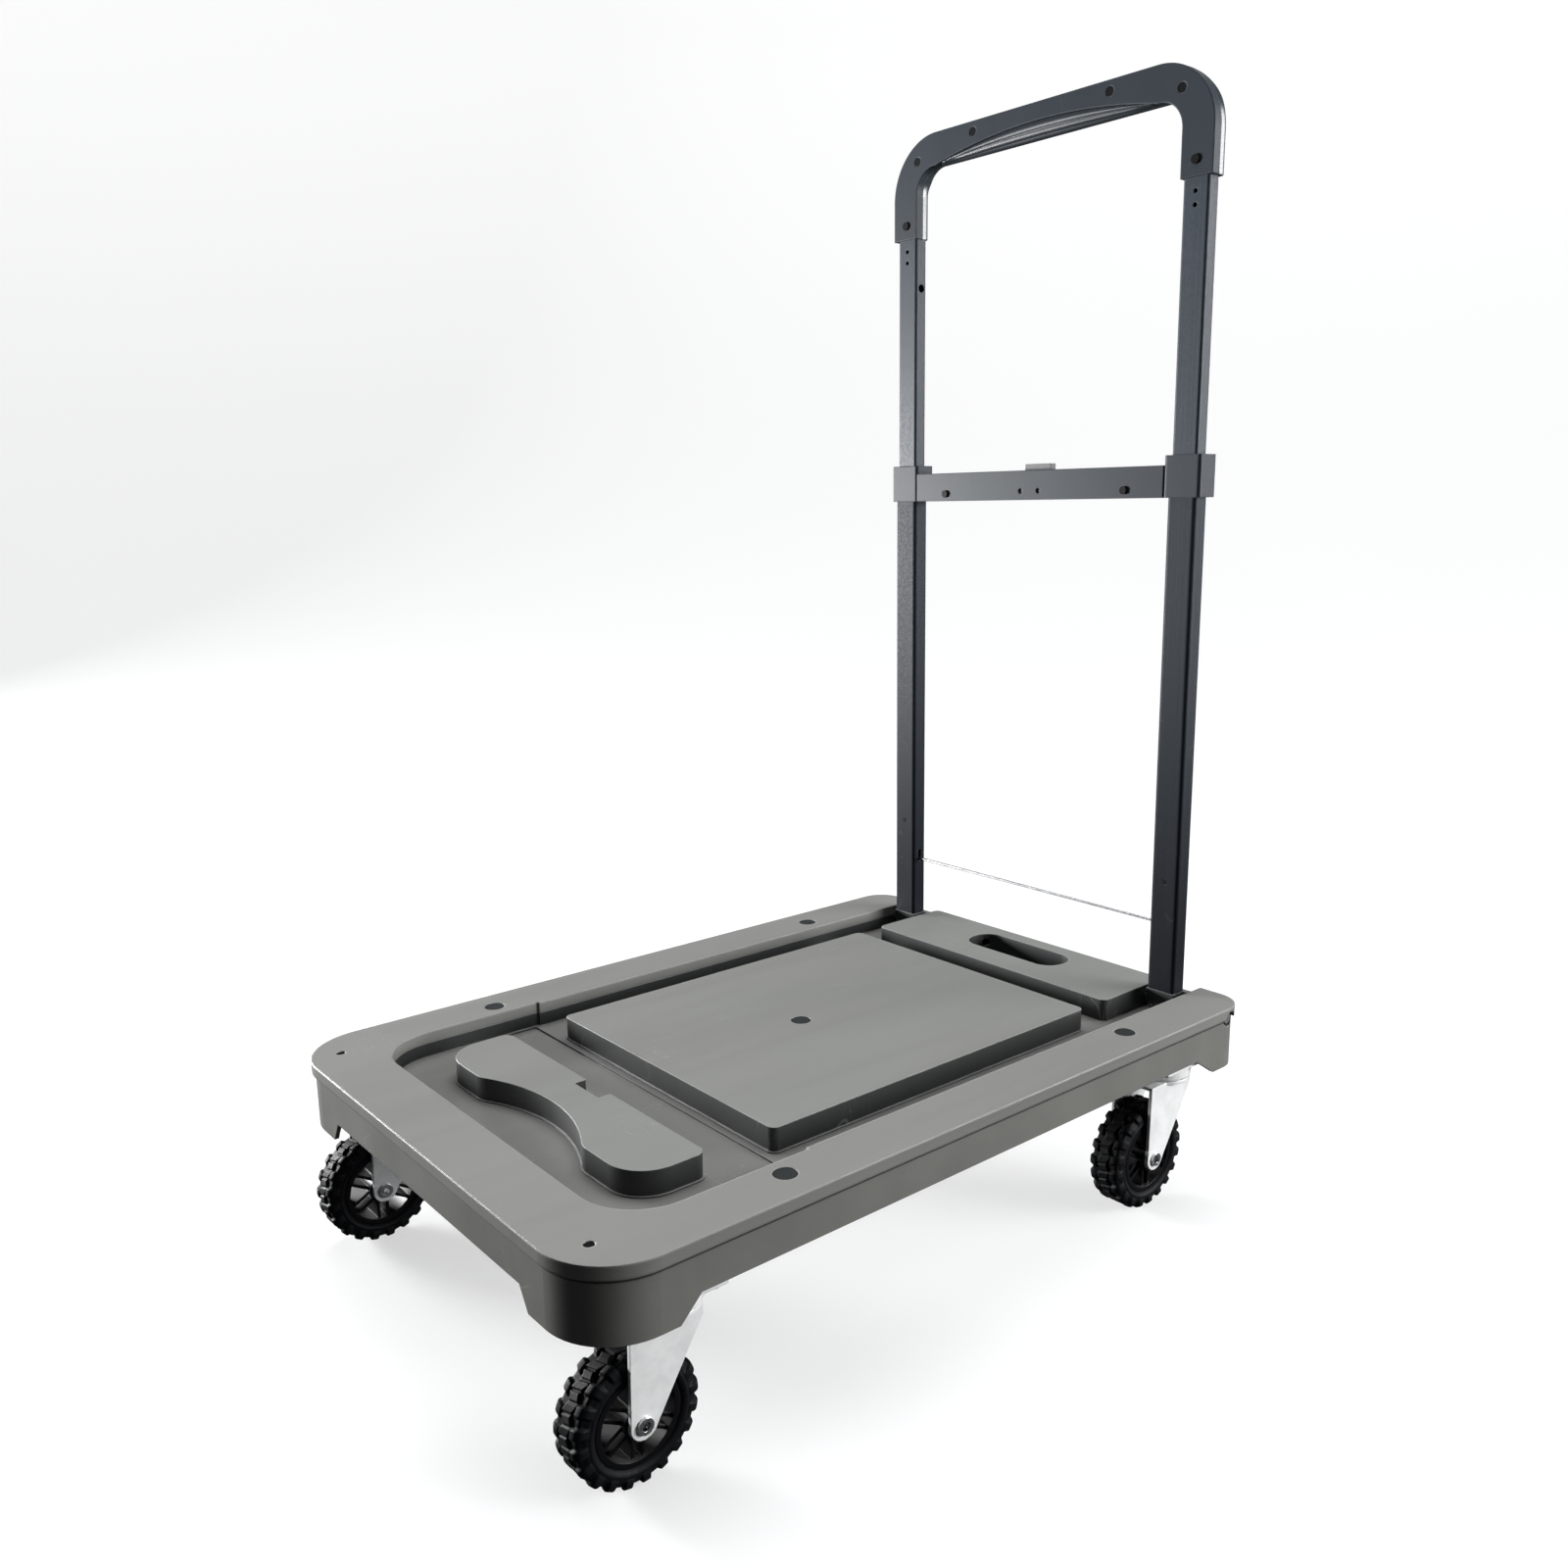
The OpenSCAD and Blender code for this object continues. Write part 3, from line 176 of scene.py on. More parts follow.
def add(tree, kind, sockets=None, **settings):
    # a shader node with its settings, its values and its links
    made = tree.nodes.new(kind if kind.startswith("NodeGroup") else "ShaderNode" + kind)
    for name, value in settings.items():
        setattr(made, name, value)
    feed(tree, made, sockets or {})
    return made


def maths(tree, operation, a, b=0.0, c=0.0, clamp=False):
    return add(tree, "Math", {0: a, 1: b, 2: c}, operation=operation, use_clamp=clamp).outputs[0]


def ramp(tree, value, low, high, toLow=0.0, toHigh=1.0):
    sockets = {"Value": value, "From Min": low, "From Max": high, "To Min": toLow, "To Max": toHigh}
    return add(tree, "MapRange", sockets, interpolation_type="SMOOTHSTEP").outputs[0]


def mixed(tree, amount, a, b, blend="MIX"):
    # sockets 6, 7 and output 2 are the colour ones
    made = add(tree, "Mix", {"Factor": amount, 6: a, 7: b}, data_type="RGBA", blend_type=blend)
    return made.outputs[2]


def startGroup(name, inputs, outputs):
    # inputs: name -> value or "vector"; outputs: name -> socket kind
    tree = bpy.data.node_groups.new(name, "ShaderNodeTree")
    for label, value in inputs.items():
        isVector = value == "vector"
        kind = "NodeSocketVector" if isVector else "NodeSocketFloat"
        socket = tree.interface.new_socket(label, in_out="INPUT", socket_type=kind)
        if not isVector:
            socket.default_value = value
    for label, kind in outputs.items():
        tree.interface.new_socket(label, in_out="OUTPUT", socket_type="NodeSocket" + kind)
    return tree, add(tree, "NodeGroupInput").outputs


def placeGroup(tree, group, sockets):
    made = tree.nodes.new("ShaderNodeGroup")
    made.node_tree = group
    feed(tree, made, sockets)
    return made.outputs


# shared effects

def buildMouldGrain():
    # fine spark-eroded texture: small cells broken up by noise, as a height
    tree, given = startGroup("mouldGrain", {"Place": "vector", "Cells": 900.0}, {"Height": "Float"})
    where = {"Vector": given["Place"], "Scale": given["Cells"]}
    noise = add(tree, "TexNoise", {**where, "Detail": 3.0})
    cells = add(tree, "TexVoronoi", where, feature="SMOOTH_F1")
    height = maths(tree, "MULTIPLY_ADD", cells.outputs["Distance"], -0.6, noise.outputs[0])
    add(tree, "NodeGroupOutput", {"Height": height})
    return tree


def buildFlowMarks():
    # long soft streaks where the plastic flowed, and a broad cloud, as masks around 0.5
    tree, given = startGroup("flowMarks", {"Place": "vector", "Along": 3.0, "Across": 30.0},
                             {"Streaks": "Float", "Cloud": "Float"})
    stretch = add(tree, "CombineXYZ", {"X": given["Across"], "Y": given["Along"], "Z": given["Along"]})
    scaled = add(tree, "VectorMath", {0: given["Place"], 1: stretch.outputs[0]}, operation="MULTIPLY")
    streaks = add(tree, "TexNoise", {"Vector": scaled.outputs[0], "Scale": 1.0, "Detail": 4.0,
                                     "Distortion": 0.4})
    cloud = add(tree, "TexNoise", {"Vector": given["Place"], "Scale": given["Along"], "Detail": 2.0})
    add(tree, "NodeGroupOutput", {"Streaks": streaks.outputs[0], "Cloud": cloud.outputs[0]})
    return tree


def buildScuffs():
    # sparse hair scratches in two directions: thin level lines of stretched noise, cut up by a patch mask
    tree, given = startGroup("scuffs", {"Place": "vector", "Scale": 14.0, "Amount": 0.5}, {"Mask": "Float"})
    lines = []
    for angle, stretch in ((0.4, (1.0, 9.0, 1.0)), (-1.1, (8.0, 1.0, 1.0))):
        turned = add(tree, "Mapping", {"Vector": given["Place"], "Rotation": (0.2, 0.1, angle),
                                       "Scale": stretch})
        noise = add(tree, "TexNoise", {"Vector": turned.outputs[0], "Scale": given["Scale"],
                                       "Detail": 2.0})
        apart = maths(tree, "ABSOLUTE", maths(tree, "SUBTRACT", noise.outputs[0], 0.5))
        lines.append(ramp(tree, apart, 0.006, 0.0))
    patch = add(tree, "TexNoise", {"Vector": given["Place"], "Scale": given["Scale"], "Detail": 1.0})
    where = ramp(tree, patch.outputs[0], 0.56, 0.72)
    amount = maths(tree, "MULTIPLY", where, given["Amount"])
    mask = maths(tree, "MULTIPLY", maths(tree, "MAXIMUM", *lines), amount)
    add(tree, "NodeGroupOutput", {"Mask": mask})
    return tree


def buildSoftEdge():
    # rounded normal near an edge, and a mask that is 1 on the edge itself
    tree, given = startGroup("softEdge", {"Radius": 0.001}, {"Normal": "Vector", "Edge": "Float"})
    bevel = add(tree, "Bevel", {"Radius": given["Radius"]}, samples=6)
    flat = add(tree, "NewGeometry")
    turned = add(tree, "VectorMath", {0: bevel.outputs[0], 1: flat.outputs["Normal"]},
                 operation="DOT_PRODUCT")
    edge = ramp(tree, turned.outputs["Value"], 0.995, 0.86)
    add(tree, "NodeGroupOutput", {"Normal": bevel.outputs[0], "Edge": edge})
    return tree


def buildFacing():
    # how far a surface faces down or to a side in the object's own axes, 0 to 1 each; the masks for painted
    # shade on walls and undersides
    tree = startGroup("facing", {}, {"Down": "Float", "Side": "Float"})[0]
    own = add(tree, "TexCoord")
    parts = add(tree, "SeparateXYZ", {0: own.outputs["Normal"]})
    z = parts.outputs["Z"]
    up = ramp(tree, z, 0.5, 0.95)
    down = ramp(tree, z, -0.5, -0.95)
    side = maths(tree, "SUBTRACT", 1.0, maths(tree, "ADD", up, down), clamp=True)
    add(tree, "NodeGroupOutput", {"Down": down, "Side": side})
    return tree


def buildZincBloom():
    # bright passivated zinc: cloudy patches, a faint crystal pattern and rolling lines
    tree, given = startGroup("zincBloom", {"Place": "vector", "Scale": 60.0},
                             {"Cloud": "Float", "Crystals": "Float", "Lines": "Float"})
    cloud = add(tree, "TexNoise", {"Vector": given["Place"], "Scale": given["Scale"], "Detail": 5.0,
                                   "Roughness": 0.6})
    crystals = add(tree, "TexVoronoi", {"Vector": given["Place"],
                                        "Scale": maths(tree, "MULTIPLY", given["Scale"], 3.0)})
    grey = add(tree, "SeparateColor", {0: crystals.outputs["Color"]})
    stretched = add(tree, "Mapping", {"Vector": given["Place"], "Scale": (30.0, 30.0, 1.5)})
    lines = add(tree, "TexNoise", {"Vector": stretched.outputs[0], "Scale": given["Scale"],
                                   "Detail": 2.0})
    add(tree, "NodeGroupOutput", {"Cloud": cloud.outputs[0], "Crystals": grey.outputs[0],
                                  "Lines": lines.outputs[0]})
    return tree


mouldGrain, flowMarks, scuffs = buildMouldGrain(), buildFlowMarks(), buildScuffs()
softEdge, facing, zincBloom = buildSoftEdge(), buildFacing(), buildZincBloom()
print("shared effects ready")


# materials

def startMaterial(name):
    made = bpy.data.materials.new(name)
    made.use_nodes = True
    tree = made.node_tree
    tree.nodes.clear()
    shader = add(tree, "BsdfPrincipled")
    add(tree, "OutputMaterial", {"Surface": shader.outputs[0]})
    place = add(tree, "TexCoord").outputs["Object"]
    return made, tree, shader, place


def rgb(colour, gain=1.0):
    return tuple(min(1.0, c * gain) for c in colour) + (1.0,)


def plasticFinish(name, v):
    made, tree, shader, place = startMaterial(name)
    edge = placeGroup(tree, softEdge, {"Radius": v["edge"]})
    marks = placeGroup(tree, flowMarks, {"Place": place, "Along": v["along"], "Across": v["across"]})
    hairs = placeGroup(tree, scuffs, {"Place": place, "Scale": v["scuffScale"], "Amount": v["scuff"]})
    sides = placeGroup(tree, facing, {})
    pale, dark = 1 + v["vary"], 1 - v["vary"]
    top = mixed(tree, ramp(tree, marks["Streaks"], 0.3, 0.7), rgb(v["colour"], dark),
                rgb(v["colour"], pale))
    tint = mixed(tree, ramp(tree, marks["Cloud"], 0.35, 0.65), top, rgb(v["tint"]))
    top = mixed(tree, v["tintShare"], top, tint)
    # painted shade: side-facing surfaces take the darker wall colour, and downward faces a still darker
    # copy of it
    wall = mixed(tree, ramp(tree, marks["Streaks"], 0.3, 0.7), rgb(v["wall"], dark),
                 rgb(v["wall"], pale))
    under = rgb(v["wall"], 0.8)
    colour = mixed(tree, sides["Side"], mixed(tree, sides["Down"], top, under), wall)
    colour = mixed(tree, maths(tree, "MULTIPLY", edge["Edge"], v["edgeLight"]), colour, rgb(v["worn"]))
    colour = mixed(tree, hairs["Mask"], colour, rgb(v["worn"]))
    if "capShadeFrom" in v:  # painted shade: a dark band on the skirt just under the cap, where the cap's lip shades it
        height = add(tree, "SeparateXYZ", {0: place}).outputs["Z"]
        band = ramp(tree, height, v["capShadeFrom"] - v["capShadeSoft"], v["capShadeFrom"] + v["capShadeSoft"])
        colour = mixed(tree, band, colour, rgb(v["wall"], 0.12))
    tree.links.new(colour, shader.inputs["Base Color"])
    rough = maths(tree, "MULTIPLY_ADD", marks["Cloud"], v["roughVary"], v["rough"] - v["roughVary"] / 2)
    rough = maths(tree, "MULTIPLY_ADD", hairs["Mask"], 0.15, rough, clamp=True)
    tree.links.new(rough, shader.inputs["Roughness"])
    grain = placeGroup(tree, mouldGrain, {"Place": place, "Cells": v["grain"]})
    height = maths(tree, "MULTIPLY_ADD", marks["Cloud"], v["wave"], grain["Height"])
    bump = add(tree, "Bump", {"Height": height, "Strength": v["bump"], "Distance": v["bumpDepth"],
                              "Normal": edge["Normal"]})
    tree.links.new(bump.outputs[0], shader.inputs["Normal"])
    shader.inputs["Specular IOR Level"].default_value = v["specular"]
    shader.inputs["Coat Weight"].default_value = v["coat"]
    shader.inputs["Coat Roughness"].default_value = 0.25
    return made


plainPlastic = {
    "edge": 0.0009, "along": 3.0, "across": 30.0, "scuffScale": 14.0, "scuff": 0.25, "vary": 0.05,
    "tint": (0.2, 0.2, 0.19), "tintShare": 0.35, "edgeLight": 0.3, "worn": (0.5, 0.5, 0.5),
    "rough": 0.45, "roughVary": 0.12, "grain": 1100.0, "wave": 0.3, "bump": 0.12,
    "bumpDepth": 0.0003, "specular": 0.45, "coat": 0.0,
}

# each "wall" colour is painted shade for side-facing surfaces, darker than the top colour
plasticValues = {
    "deck_grey": {"colour": (0.215, 0.218, 0.210), "wall": (0.175, 0.175, 0.166),
                  "tint": (0.228, 0.224, 0.211), "edgeLight": 0.35, "edge": 0.0022},
    # the skirts; the two band values at the end place the painted shade band under the cap
    "deck_grey_sides": {"colour": (0.165, 0.165, 0.155), "wall": (0.150, 0.150, 0.140), "along": 26.0,
                        "across": 26.0, "capShadeFrom": 0.1335, "capShadeSoft": 0.0006},
    "deck_tray": {"colour": (0.185, 0.187, 0.182), "wall": (0.022, 0.023, 0.024)},
    "panel_grey": {"colour": (0.210, 0.212, 0.203), "wall": (0.024, 0.025, 0.026),
                   "tint": (0.195, 0.21, 0.205), "edgeLight": 0.45},
    "plug_charcoal": {"colour": (0.026, 0.030, 0.031), "wall": (0.01, 0.01, 0.01), "edgeLight": 0.1,
                      "tint": (0.02, 0.022, 0.023), "specular": 0.12, "rough": 0.6},
    "crossbar_plastic": {"colour": (0.029, 0.037, 0.047), "wall": (0.029, 0.037, 0.047),
                         "edge": 0.0012, "specular": 0.15, "scuff": 0.08, "worn": (0.2, 0.22, 0.24)},
    "foot_plastic": {"colour": (0.015, 0.016, 0.018), "wall": (0.015, 0.016, 0.018)},
    "button_black": {"colour": (0.022, 0.024, 0.028), "wall": (0.022, 0.024, 0.028)},
    "grip_shell": {"colour": (0.034, 0.042, 0.052), "wall": (0.034, 0.042, 0.052), "edge": 0.0014,
                   "rough": 0.42, "specular": 0.14, "scuff": 0.06, "worn": (0.16, 0.18, 0.2)},
    "grip_shell_gloss": {"colour": (0.030, 0.038, 0.047), "wall": (0.030, 0.038, 0.047),
                         "edge": 0.0012, "rough": 0.24, "bump": 0.05, "specular": 0.7, "coat": 0.5,
                         "scuff": 0.06, "worn": (0.16, 0.18, 0.2)},
    "hub_black": {"colour": (0.003, 0.003, 0.004), "wall": (0.003, 0.003, 0.004), "rough": 0.38,
                  "specular": 0.16, "worn": (0.05, 0.05, 0.05), "edgeLight": 0.12},
}


def paintFinish(name, v):
    # satin paint on drawn tube: orange peel, faint draw lines along Z, and painted shade darker towards the
    # foot
    made, tree, shader, place = startMaterial(name)
    edge = placeGroup(tree, softEdge, {"Radius": 0.0012})
    hairs = placeGroup(tree, scuffs, {"Place": place, "Scale": 30.0, "Amount": 0.22})
    drawn = add(tree, "Mapping", {"Vector": place, "Scale": (900.0, 900.0, 3.0)})
    lines = add(tree, "TexNoise", {"Vector": drawn.outputs[0], "Scale": 1.0, "Detail": 2.0})
    height = add(tree, "SeparateXYZ", {0: place}).outputs["Z"]
    # painted shade: below "high" the colour ramps down to the darker foot colour at "low"
    rise = ramp(tree, height, v["low"], v["high"])
    colour = mixed(tree, rise, rgb(v["foot"]), rgb(v["colour"]))
    colour = mixed(tree, ramp(tree, lines.outputs[0], 0.35, 0.65), colour,
                   mixed(tree, 1.0, colour, (0.82, 0.82, 0.82, 1), "MULTIPLY"))
    colour = mixed(tree, maths(tree, "MULTIPLY", edge["Edge"], 0.25), colour,
                   rgb((0.2, 0.22, 0.25)))
    colour = mixed(tree, hairs["Mask"], colour, rgb((0.22, 0.23, 0.25)))
    tree.links.new(colour, shader.inputs["Base Color"])
    peel = add(tree, "TexNoise", {"Vector": place, "Scale": 500.0, "Detail": 2.0})
    rough = ramp(tree, peel.outputs[0], 0.3, 0.7, v["rough"] - 0.04, v["rough"] + 0.05)
    tree.links.new(rough, shader.inputs["Roughness"])
    tall = maths(tree, "MULTIPLY_ADD", lines.outputs[0], 0.5, peel.outputs[0])
    bump = add(tree, "Bump", {"Height": tall, "Strength": 0.1, "Distance": 0.0003,
                              "Normal": edge["Normal"]})
    tree.links.new(bump.outputs[0], shader.inputs["Normal"])
    shader.inputs["Specular IOR Level"].default_value = v["specular"]
    return made


# "foot" is the painted shade colour at the bottom of each tube
paintValues = {
    "lower_tube_paint": {"colour": (0.024, 0.033, 0.044), "foot": (0.003, 0.005, 0.009),
                         "low": 0.15, "high": 0.55, "rough": 0.5, "specular": 0.12},
    "upper_tube_paint": {"colour": (0.050, 0.062, 0.078), "foot": (0.036, 0.047, 0.062),
                         "low": 0.5, "high": 0.75, "rough": 0.42, "specular": 0.18},
}


def metalFinish(name, v):
    made, tree, shader, place = startMaterial(name)
    edge = placeGroup(tree, softEdge, {"Radius": v["edge"]})
    bloom = placeGroup(tree, zincBloom, {"Place": place, "Scale": v["bloom"]})
    colour = mixed(tree, ramp(tree, bloom["Cloud"], 0.3, 0.7), rgb(v["colour"], 0.86),
                   rgb(v["colour"]))
    crystals = maths(tree, "MULTIPLY", bloom["Crystals"], v["crystal"])
    colour = mixed(tree, crystals, colour, rgb(v["tint"]))
    colour = mixed(tree, maths(tree, "MULTIPLY", edge["Edge"], 0.35), colour, rgb(v["worn"]))
    tree.links.new(colour, shader.inputs["Base Color"])
    rough = ramp(tree, bloom["Lines"], 0.3, 0.7, v["rough"] - 0.05, v["rough"] + 0.06)
    tree.links.new(rough, shader.inputs["Roughness"])
    height = maths(tree, "MULTIPLY_ADD", bloom["Lines"], 0.4, bloom["Cloud"])
    bump = add(tree, "Bump", {"Height": height, "Strength": v["bump"], "Distance": 0.0003,
                              "Normal": edge["Normal"]})
    tree.links.new(bump.outputs[0], shader.inputs["Normal"])
    shader.inputs["Metallic"].default_value = v["metal"]
    shader.inputs["Specular IOR Level"].default_value = v["specular"]
    return made


plainMetal = {
    "edge": 0.0005, "bloom": 70.0, "crystal": 0.12, "tint": (0.62, 0.68, 0.72),
    "worn": (0.9, 0.9, 0.9), "rough": 0.3, "bump": 0.08, "metal": 1.0, "specular": 0.5,
}

metalValues = {
    "zinc": {"colour": (0.70, 0.71, 0.72)},
    "caster_zinc": {"colour": (0.96, 0.97, 0.97), "rough": 0.34, "edge": 0.0008, "metal": 0.15,
                    "tint": (0.80, 0.85, 0.88)},
    "ball_steel": {"colour": (0.75, 0.75, 0.76), "rough": 0.15},
    "spring_steel": {"colour": (0.55, 0.55, 0.57), "rough": 0.25, "edge": 0.0001},
    "wire_steel": {"colour": (0.62, 0.62, 0.64), "rough": 0.25, "edge": 0.0003},
    "dark_screw": {"colour": (0.008, 0.008, 0.009), "worn": (0.02, 0.02, 0.02),
                   "tint": (0.01, 0.01, 0.011), "rough": 0.5, "metal": 0.0, "specular": 0.06},
}


def rubberFinish(name, v):
    made, tree, shader, place = startMaterial(name)
    fine = add(tree, "TexNoise", {"Vector": place, "Scale": 900.0, "Detail": 3.0})
    broad = add(tree, "TexNoise", {"Vector": place, "Scale": 45.0, "Detail": 3.0})
    dust = add(tree, "TexNoise", {"Vector": place, "Scale": 130.0, "Detail": 5.0, "Roughness": 0.7})
    colour = mixed(tree, ramp(tree, broad.outputs[0], 0.35, 0.65), rgb(v["colour"], 0.8),
                   rgb(v["colour"], 1.25))
    colour = mixed(tree, ramp(tree, dust.outputs[0], 0.6, 0.8, 0, v["dust"]), colour,
                   rgb(v["dustColour"]))
    tree.links.new(colour, shader.inputs["Base Color"])
    rough = ramp(tree, fine.outputs[0], 0.3, 0.7, v["rough"] - 0.07, v["rough"] + 0.07)
    tree.links.new(rough, shader.inputs["Roughness"])
    bump = add(tree, "Bump", {"Height": fine.outputs[0], "Strength": 0.2, "Distance": 0.0003})
    tree.links.new(bump.outputs[0], shader.inputs["Normal"])
    shader.inputs["Specular IOR Level"].default_value = v["specular"]
    return made


rubberValues = {
    "colour": (0.0030, 0.0036, 0.0048), "rough": 0.6, "specular": 0.14,
    "dust": 0.15, "dustColour": (0.012, 0.012, 0.013),
}


def plainSurface(name, colour, glow):
    # pale paper, with a little glow higher up where the lamps no longer reach
    made, tree, shader, place = startMaterial(name)
    soft = add(tree, "TexNoise", {"Vector": place, "Scale": 3.0, "Detail": 3.0})
    tone = mixed(tree, soft.outputs[0], rgb(colour, 0.985), rgb(colour, 1.015))
    tree.links.new(tone, shader.inputs["Base Color"])
    rise = add(tree, "SeparateXYZ", {0: place}).outputs["Z"]
    tree.links.new(ramp(tree, rise, 0.0, 2.4, *glow), shader.inputs["Emission Strength"])
    shader.inputs["Emission Color"].default_value = (1, 1, 1, 1)
    shader.inputs["Roughness"].default_value = 0.85
    shader.inputs["Specular IOR Level"].default_value = 0.1
    return made


finishes = {}
for name, values in plasticValues.items():
    finishes[name] = plasticFinish(name, {**plainPlastic, **values})
for name, values in paintValues.items():
    finishes[name] = paintFinish(name, values)
for name, values in metalValues.items():
    finishes[name] = metalFinish(name, {**plainMetal, **values})
finishes["tyre_black"] = rubberFinish("tyre_black", rubberValues)
plainFloor = plainSurface("plainFloor", floorValues["colour"], floorValues["glow"])

for name, piece in nodes.items():
    for i, old in enumerate(piece.data.materials):
        piece.data.materials[i] = finishes[old.name.split(".")[0]]
print("finishes:", len(finishes))

makeCamera(cameraValues)
makeFloor(floorValues)
makeLights(lightValues)
makeWorld(worldValues)
bpy.context.scene.view_settings.view_transform = "Standard"
print("camera, floor and lights placed")


# tyres

tyreValues = {
    "round": 760, "thick": 0.013, "clearance": 0.00005, "corner": 0.0045, "bead": 0.0007,
    "lugs": 20, "lugShare": 0.52, "lean": 18, "tread": 0.0020, "wall": 0.0005, "soft": 0.0011,
    "centreBars": 20, "zigzag": 0.0012,
}


def smooth(low, high, x):
    t = np.clip((x - low) / (high - low), 0, 1)
    return t * t * (3 - 2 * t)


def tyreSection(inner, outer, half, corner):
    # closed section, anticlockwise from the left bead: out over the tread and back through the bore
    side = np.linspace(0, 1, 16)[:, None]
    left = np.array([[-half + 0.002, inner], [-half, inner + 0.003]])
    wallUp = np.array([-half, inner + 0.003]) + side * np.array([0.0, outer - corner - inner - 0.003])
    arc = np.linspace(0, math.pi / 2, 9)[1:]
    shoulder = np.stack([-half + corner * (1 - np.cos(arc)), outer - corner * (1 - np.sin(arc))], axis=1)
    across = np.linspace(-half + corner, half - corner, 41)[1:-1]
    tread = np.stack([across, np.full(across.shape, outer)], axis=1)
    outside = np.concatenate([left[:1], wallUp, shoulder, tread])
    mirrored = np.concatenate([shoulder[::-1], wallUp[::-1], left[:1]]) * np.array([-1, 1])
    bore = np.stack([np.linspace(half - 0.002, -half + 0.002, 6)[1:-1], np.full(4, inner)], axis=1)
    return np.concatenate([outside, mirrored, bore])


def makeTyre(node, body, v):
    # points = section swept round the axle, pushed in along the section's normal where there is no lug
    low, high = (np.array(c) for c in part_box(node))
    centre, half, outer = (low + high) / 2, (high - low)[0] / 2, (high - low)[2] / 2
    inner = outer - v["thick"] + v["clearance"]
    section = tyreSection(inner, outer, half, v["corner"])
    step = np.roll(section, -1, axis=0) - np.roll(section, 1, axis=0)
    normal = np.stack([-step[:, 1], step[:, 0]], axis=1)
    normal /= np.linalg.norm(normal, axis=1)[:, None]
    w, r = section[:, 0][None], section[:, 1][None]
    angle = np.linspace(0, 2 * math.pi, v["round"], endpoint=False)[:, None]
    pitch = 2 * math.pi * outer / v["lugs"]
    # shoulder lugs, half a pitch apart on the two sides and leaning a little
    phase = angle / (2 * math.pi) * v["lugs"] + np.where(w < 0, 0.5, 0.0) + np.abs(w) * v["lean"]
    away = np.abs((phase % 1) - 0.5) * pitch
    lug = smooth(v["soft"], -v["soft"], away - v["lugShare"] * pitch / 2)
    lug = lug * smooth(0.0050, 0.0062, np.abs(w))
    lug = lug * smooth(outer - 0.0088, outer - 0.0066, r)
    # centre bars: a zigzag band with cross cuts
    zigzag = v["zigzag"] * np.sin(angle * v["centreBars"])
    band = smooth(0.0050, 0.0036, np.abs(w - zigzag)) * smooth(outer - 0.002, outer - 0.001, r)
    cut = np.abs(((angle / (2 * math.pi) * v["centreBars"] * 2 + w * 40) % 1) - 0.5) * pitch / 2
    band = band * (0.55 + 0.45 * smooth(0.0003, 0.0012, cut))
    raised = np.maximum(lug, band * 0.85)
    onTread = smooth(outer - 0.0075, outer - 0.0035, r)
    depth = (1 - raised) * (v["wall"] + (v["tread"] - v["wall"]) * onTread)
    depth = depth * smooth(inner + 0.002, inner + 0.0042, r)
    # a thin bead stands proud where the tyre meets the hub
    ridge = np.exp(-((r - inner - 0.0036) / 0.0009) ** 2) * (np.abs(w) > half - 0.0005)
    depth = np.maximum(depth - v["bead"] * ridge, 0)
    reach = r - depth * normal[:, 1][None]
    side = w - depth * normal[:, 0][None] + 0 * angle
    points = np.stack([centre[0] + side, centre[1] + reach * np.cos(angle),
                       centre[2] + reach * np.sin(angle)], axis=-1)
    made = meshFromGrid("knobby_" + node, points[::-1], closeRound=True, closeAcross=True)
    made.data.materials.append(finishes["tyre_black"])
    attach(made, body)
    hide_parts(node)
    return made


for end in ("front", "rear"):
    for hand in ("left", "right"):
        tyre = makeTyre(f"tyre_{end}_{hand}", f"wheel_{end}_{hand}", tyreValues)
print("tyres:", len(tyre.data.polygons), "faces each")


# grip, back shell

gripValues = {
    "barHigh": 0.025, "legWide": 0.0258, "outRound": 0.047, "inRound": 0.020, "legDeep": 0.008,
    "faceHigh": 0.013, "reach": 0.0060, "leastReach": 0.0002, "inset": 0.00015,
    "ribs": 6, "ribHigh": 0.0008, "steps": (18, 26, 44), "sharpTurn": 0.6,
}


def barPath(wide, top, foot, bend, steps):
    # right half of a U on its head: up a leg, round a quarter circle, along the bar to the middle
    turn = np.linspace(0, math.pi / 2, steps[1])
    leg = np.stack([np.full(steps[0], wide), np.linspace(foot, top - bend, steps[0])], axis=1)[:-1]
    arc = np.stack([wide - bend + bend * np.cos(turn), top - bend + bend * np.sin(turn)], axis=1)
    bar = np.stack([np.linspace(wide - bend, 0, steps[2]), np.full(steps[2], top)], axis=1)[1:]
    return np.concatenate([leg, arc, bar])


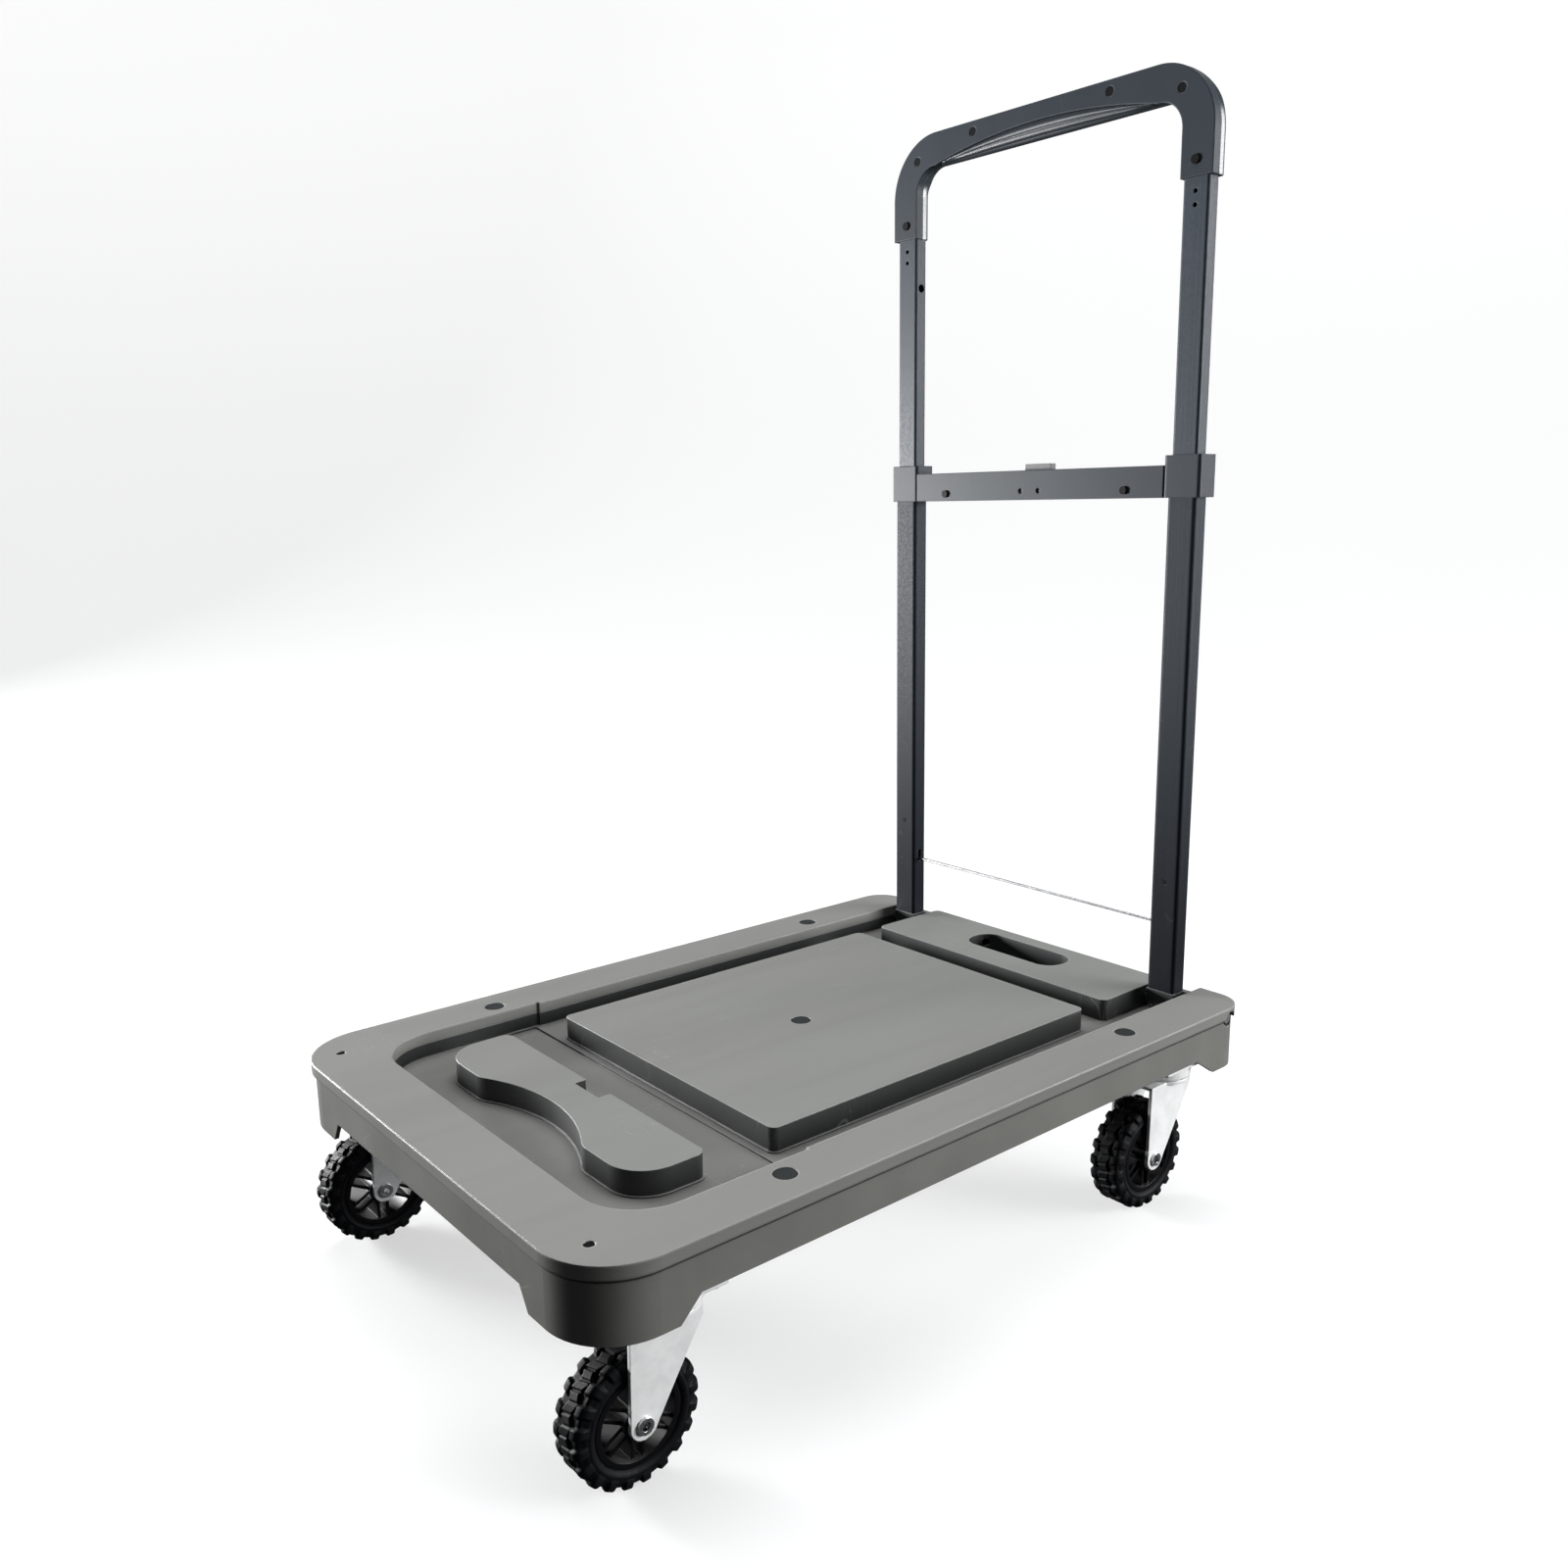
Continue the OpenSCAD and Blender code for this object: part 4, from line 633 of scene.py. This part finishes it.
def makeGripBack(v):
    # a section carried along the U: a rounded back, a ribbed underside that comes forward under
    # the front shell, and a flat parting face
    low, high = (np.array(c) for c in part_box("grip_back"))
    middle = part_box("grip_front")[1][1]
    deep = high[1] - middle
    outer = barPath(high[0], high[2], low[2], v["outRound"], v["steps"])
    inner = barPath(high[0] - v["legWide"], high[2] - v["barHigh"], low[2], v["inRound"], v["steps"])
    mirror = np.array([-1, 1])
    outer = np.concatenate([outer, outer[-2::-1] * mirror])[:, None]
    inner = np.concatenate([inner, inner[-2::-1] * mirror])[:, None]
    across = np.linalg.norm(inner - outer, axis=2)
    x, z = np.abs(inner[..., 0]), (inner[..., 1] + outer[..., 1]) / 2
    under = high[2] - v["barHigh"]
    onBar = smooth(under - 0.016, under + 0.004, z)
    depth = v["legDeep"] + (deep - v["legDeep"]) * onBar
    power = 2 / (6.0 - 3.3 * onBar)
    # lens under the front face: height of an arc that meets the lower edge at the inner corners
    half = high[0] - v["legWide"] - v["inRound"]
    rise = v["barHigh"] - v["faceHigh"]
    lens = np.where(onBar > 0.99, rise * np.clip(1 - (x / half) ** 2, 0, 1), 0)
    reach = v["leastReach"] + (v["reach"] - v["leastReach"]) * smooth(0.0004, 0.0016, lens)
    face = 1 - np.maximum(lens - 0.0003, 0.0003) / across
    # the section: share across (0 outside, 1 inside) and distance behind the parting plane
    lastPart = np.linspace(0.62, 0, 22)[:-1]
    angle = np.concatenate([np.linspace(0, math.pi - math.asin(0.66 ** 1.35), 40),
                            math.pi - np.arcsin(lastPart ** 1.35)])[None]
    share = 0.5 - 0.5 * np.sign(np.cos(angle)) * np.abs(np.cos(angle)) ** power
    back = depth * np.sin(angle) ** power
    turn = np.linspace(0, math.pi / 2, 64)[None]
    inward = np.linspace(0, 1, 5)[None, 1:]
    closing = np.linspace(0, 1, 8)[None, 1:-1]
    # the part under the front shell is a quarter round with lengthwise ribs
    ridge = v["ribHigh"] * np.abs(np.sin(turn * v["ribs"])) * smooth(0.0015, 0.006, lens)
    share = np.concatenate([share, face + (1 - face) * np.cos(turn) + ridge * np.cos(turn) / across,
                            face + 0 * inward, face * (1 - closing)], axis=1)
    back = np.concatenate([back, -(reach + ridge * 0.6) * np.sin(turn), -reach * (1 - inward),
                           0 * closing + 0 * reach], axis=1)
    share = share * (across - 2 * v["inset"]) / across + v["inset"] / across
    plan = outer + (inner - outer) * share[..., None]
    points = np.stack([plan[..., 0], middle + back, plan[..., 1]], axis=-1)
    made = meshFromGrid("grip_back_shell", points, closeAcross=True)
    shell = bmesh.new()
    shell.from_mesh(made.data)
    rims = [e for e in shell.edges if e.is_boundary]
    caps = bmesh.ops.holes_fill(shell, edges=rims)["faces"]
    for e in rims:
        e.smooth = False
    for e in shell.edges:
        if len(e.link_faces) == 2 and e.calc_face_angle(0) > v["sharpTurn"]:
            e.smooth = False
    for f in caps:
        f.smooth = False
    bmesh.ops.recalc_face_normals(shell, faces=shell.faces)
    shell.to_mesh(made.data)
    shell.free()
    made.data.materials.append(finishes["grip_shell_gloss"])
    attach(made, "upper_handle")
    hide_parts("grip_back")
    return made


grip = makeGripBack(gripValues)
print("grip:", len(grip.data.polygons), "faces")
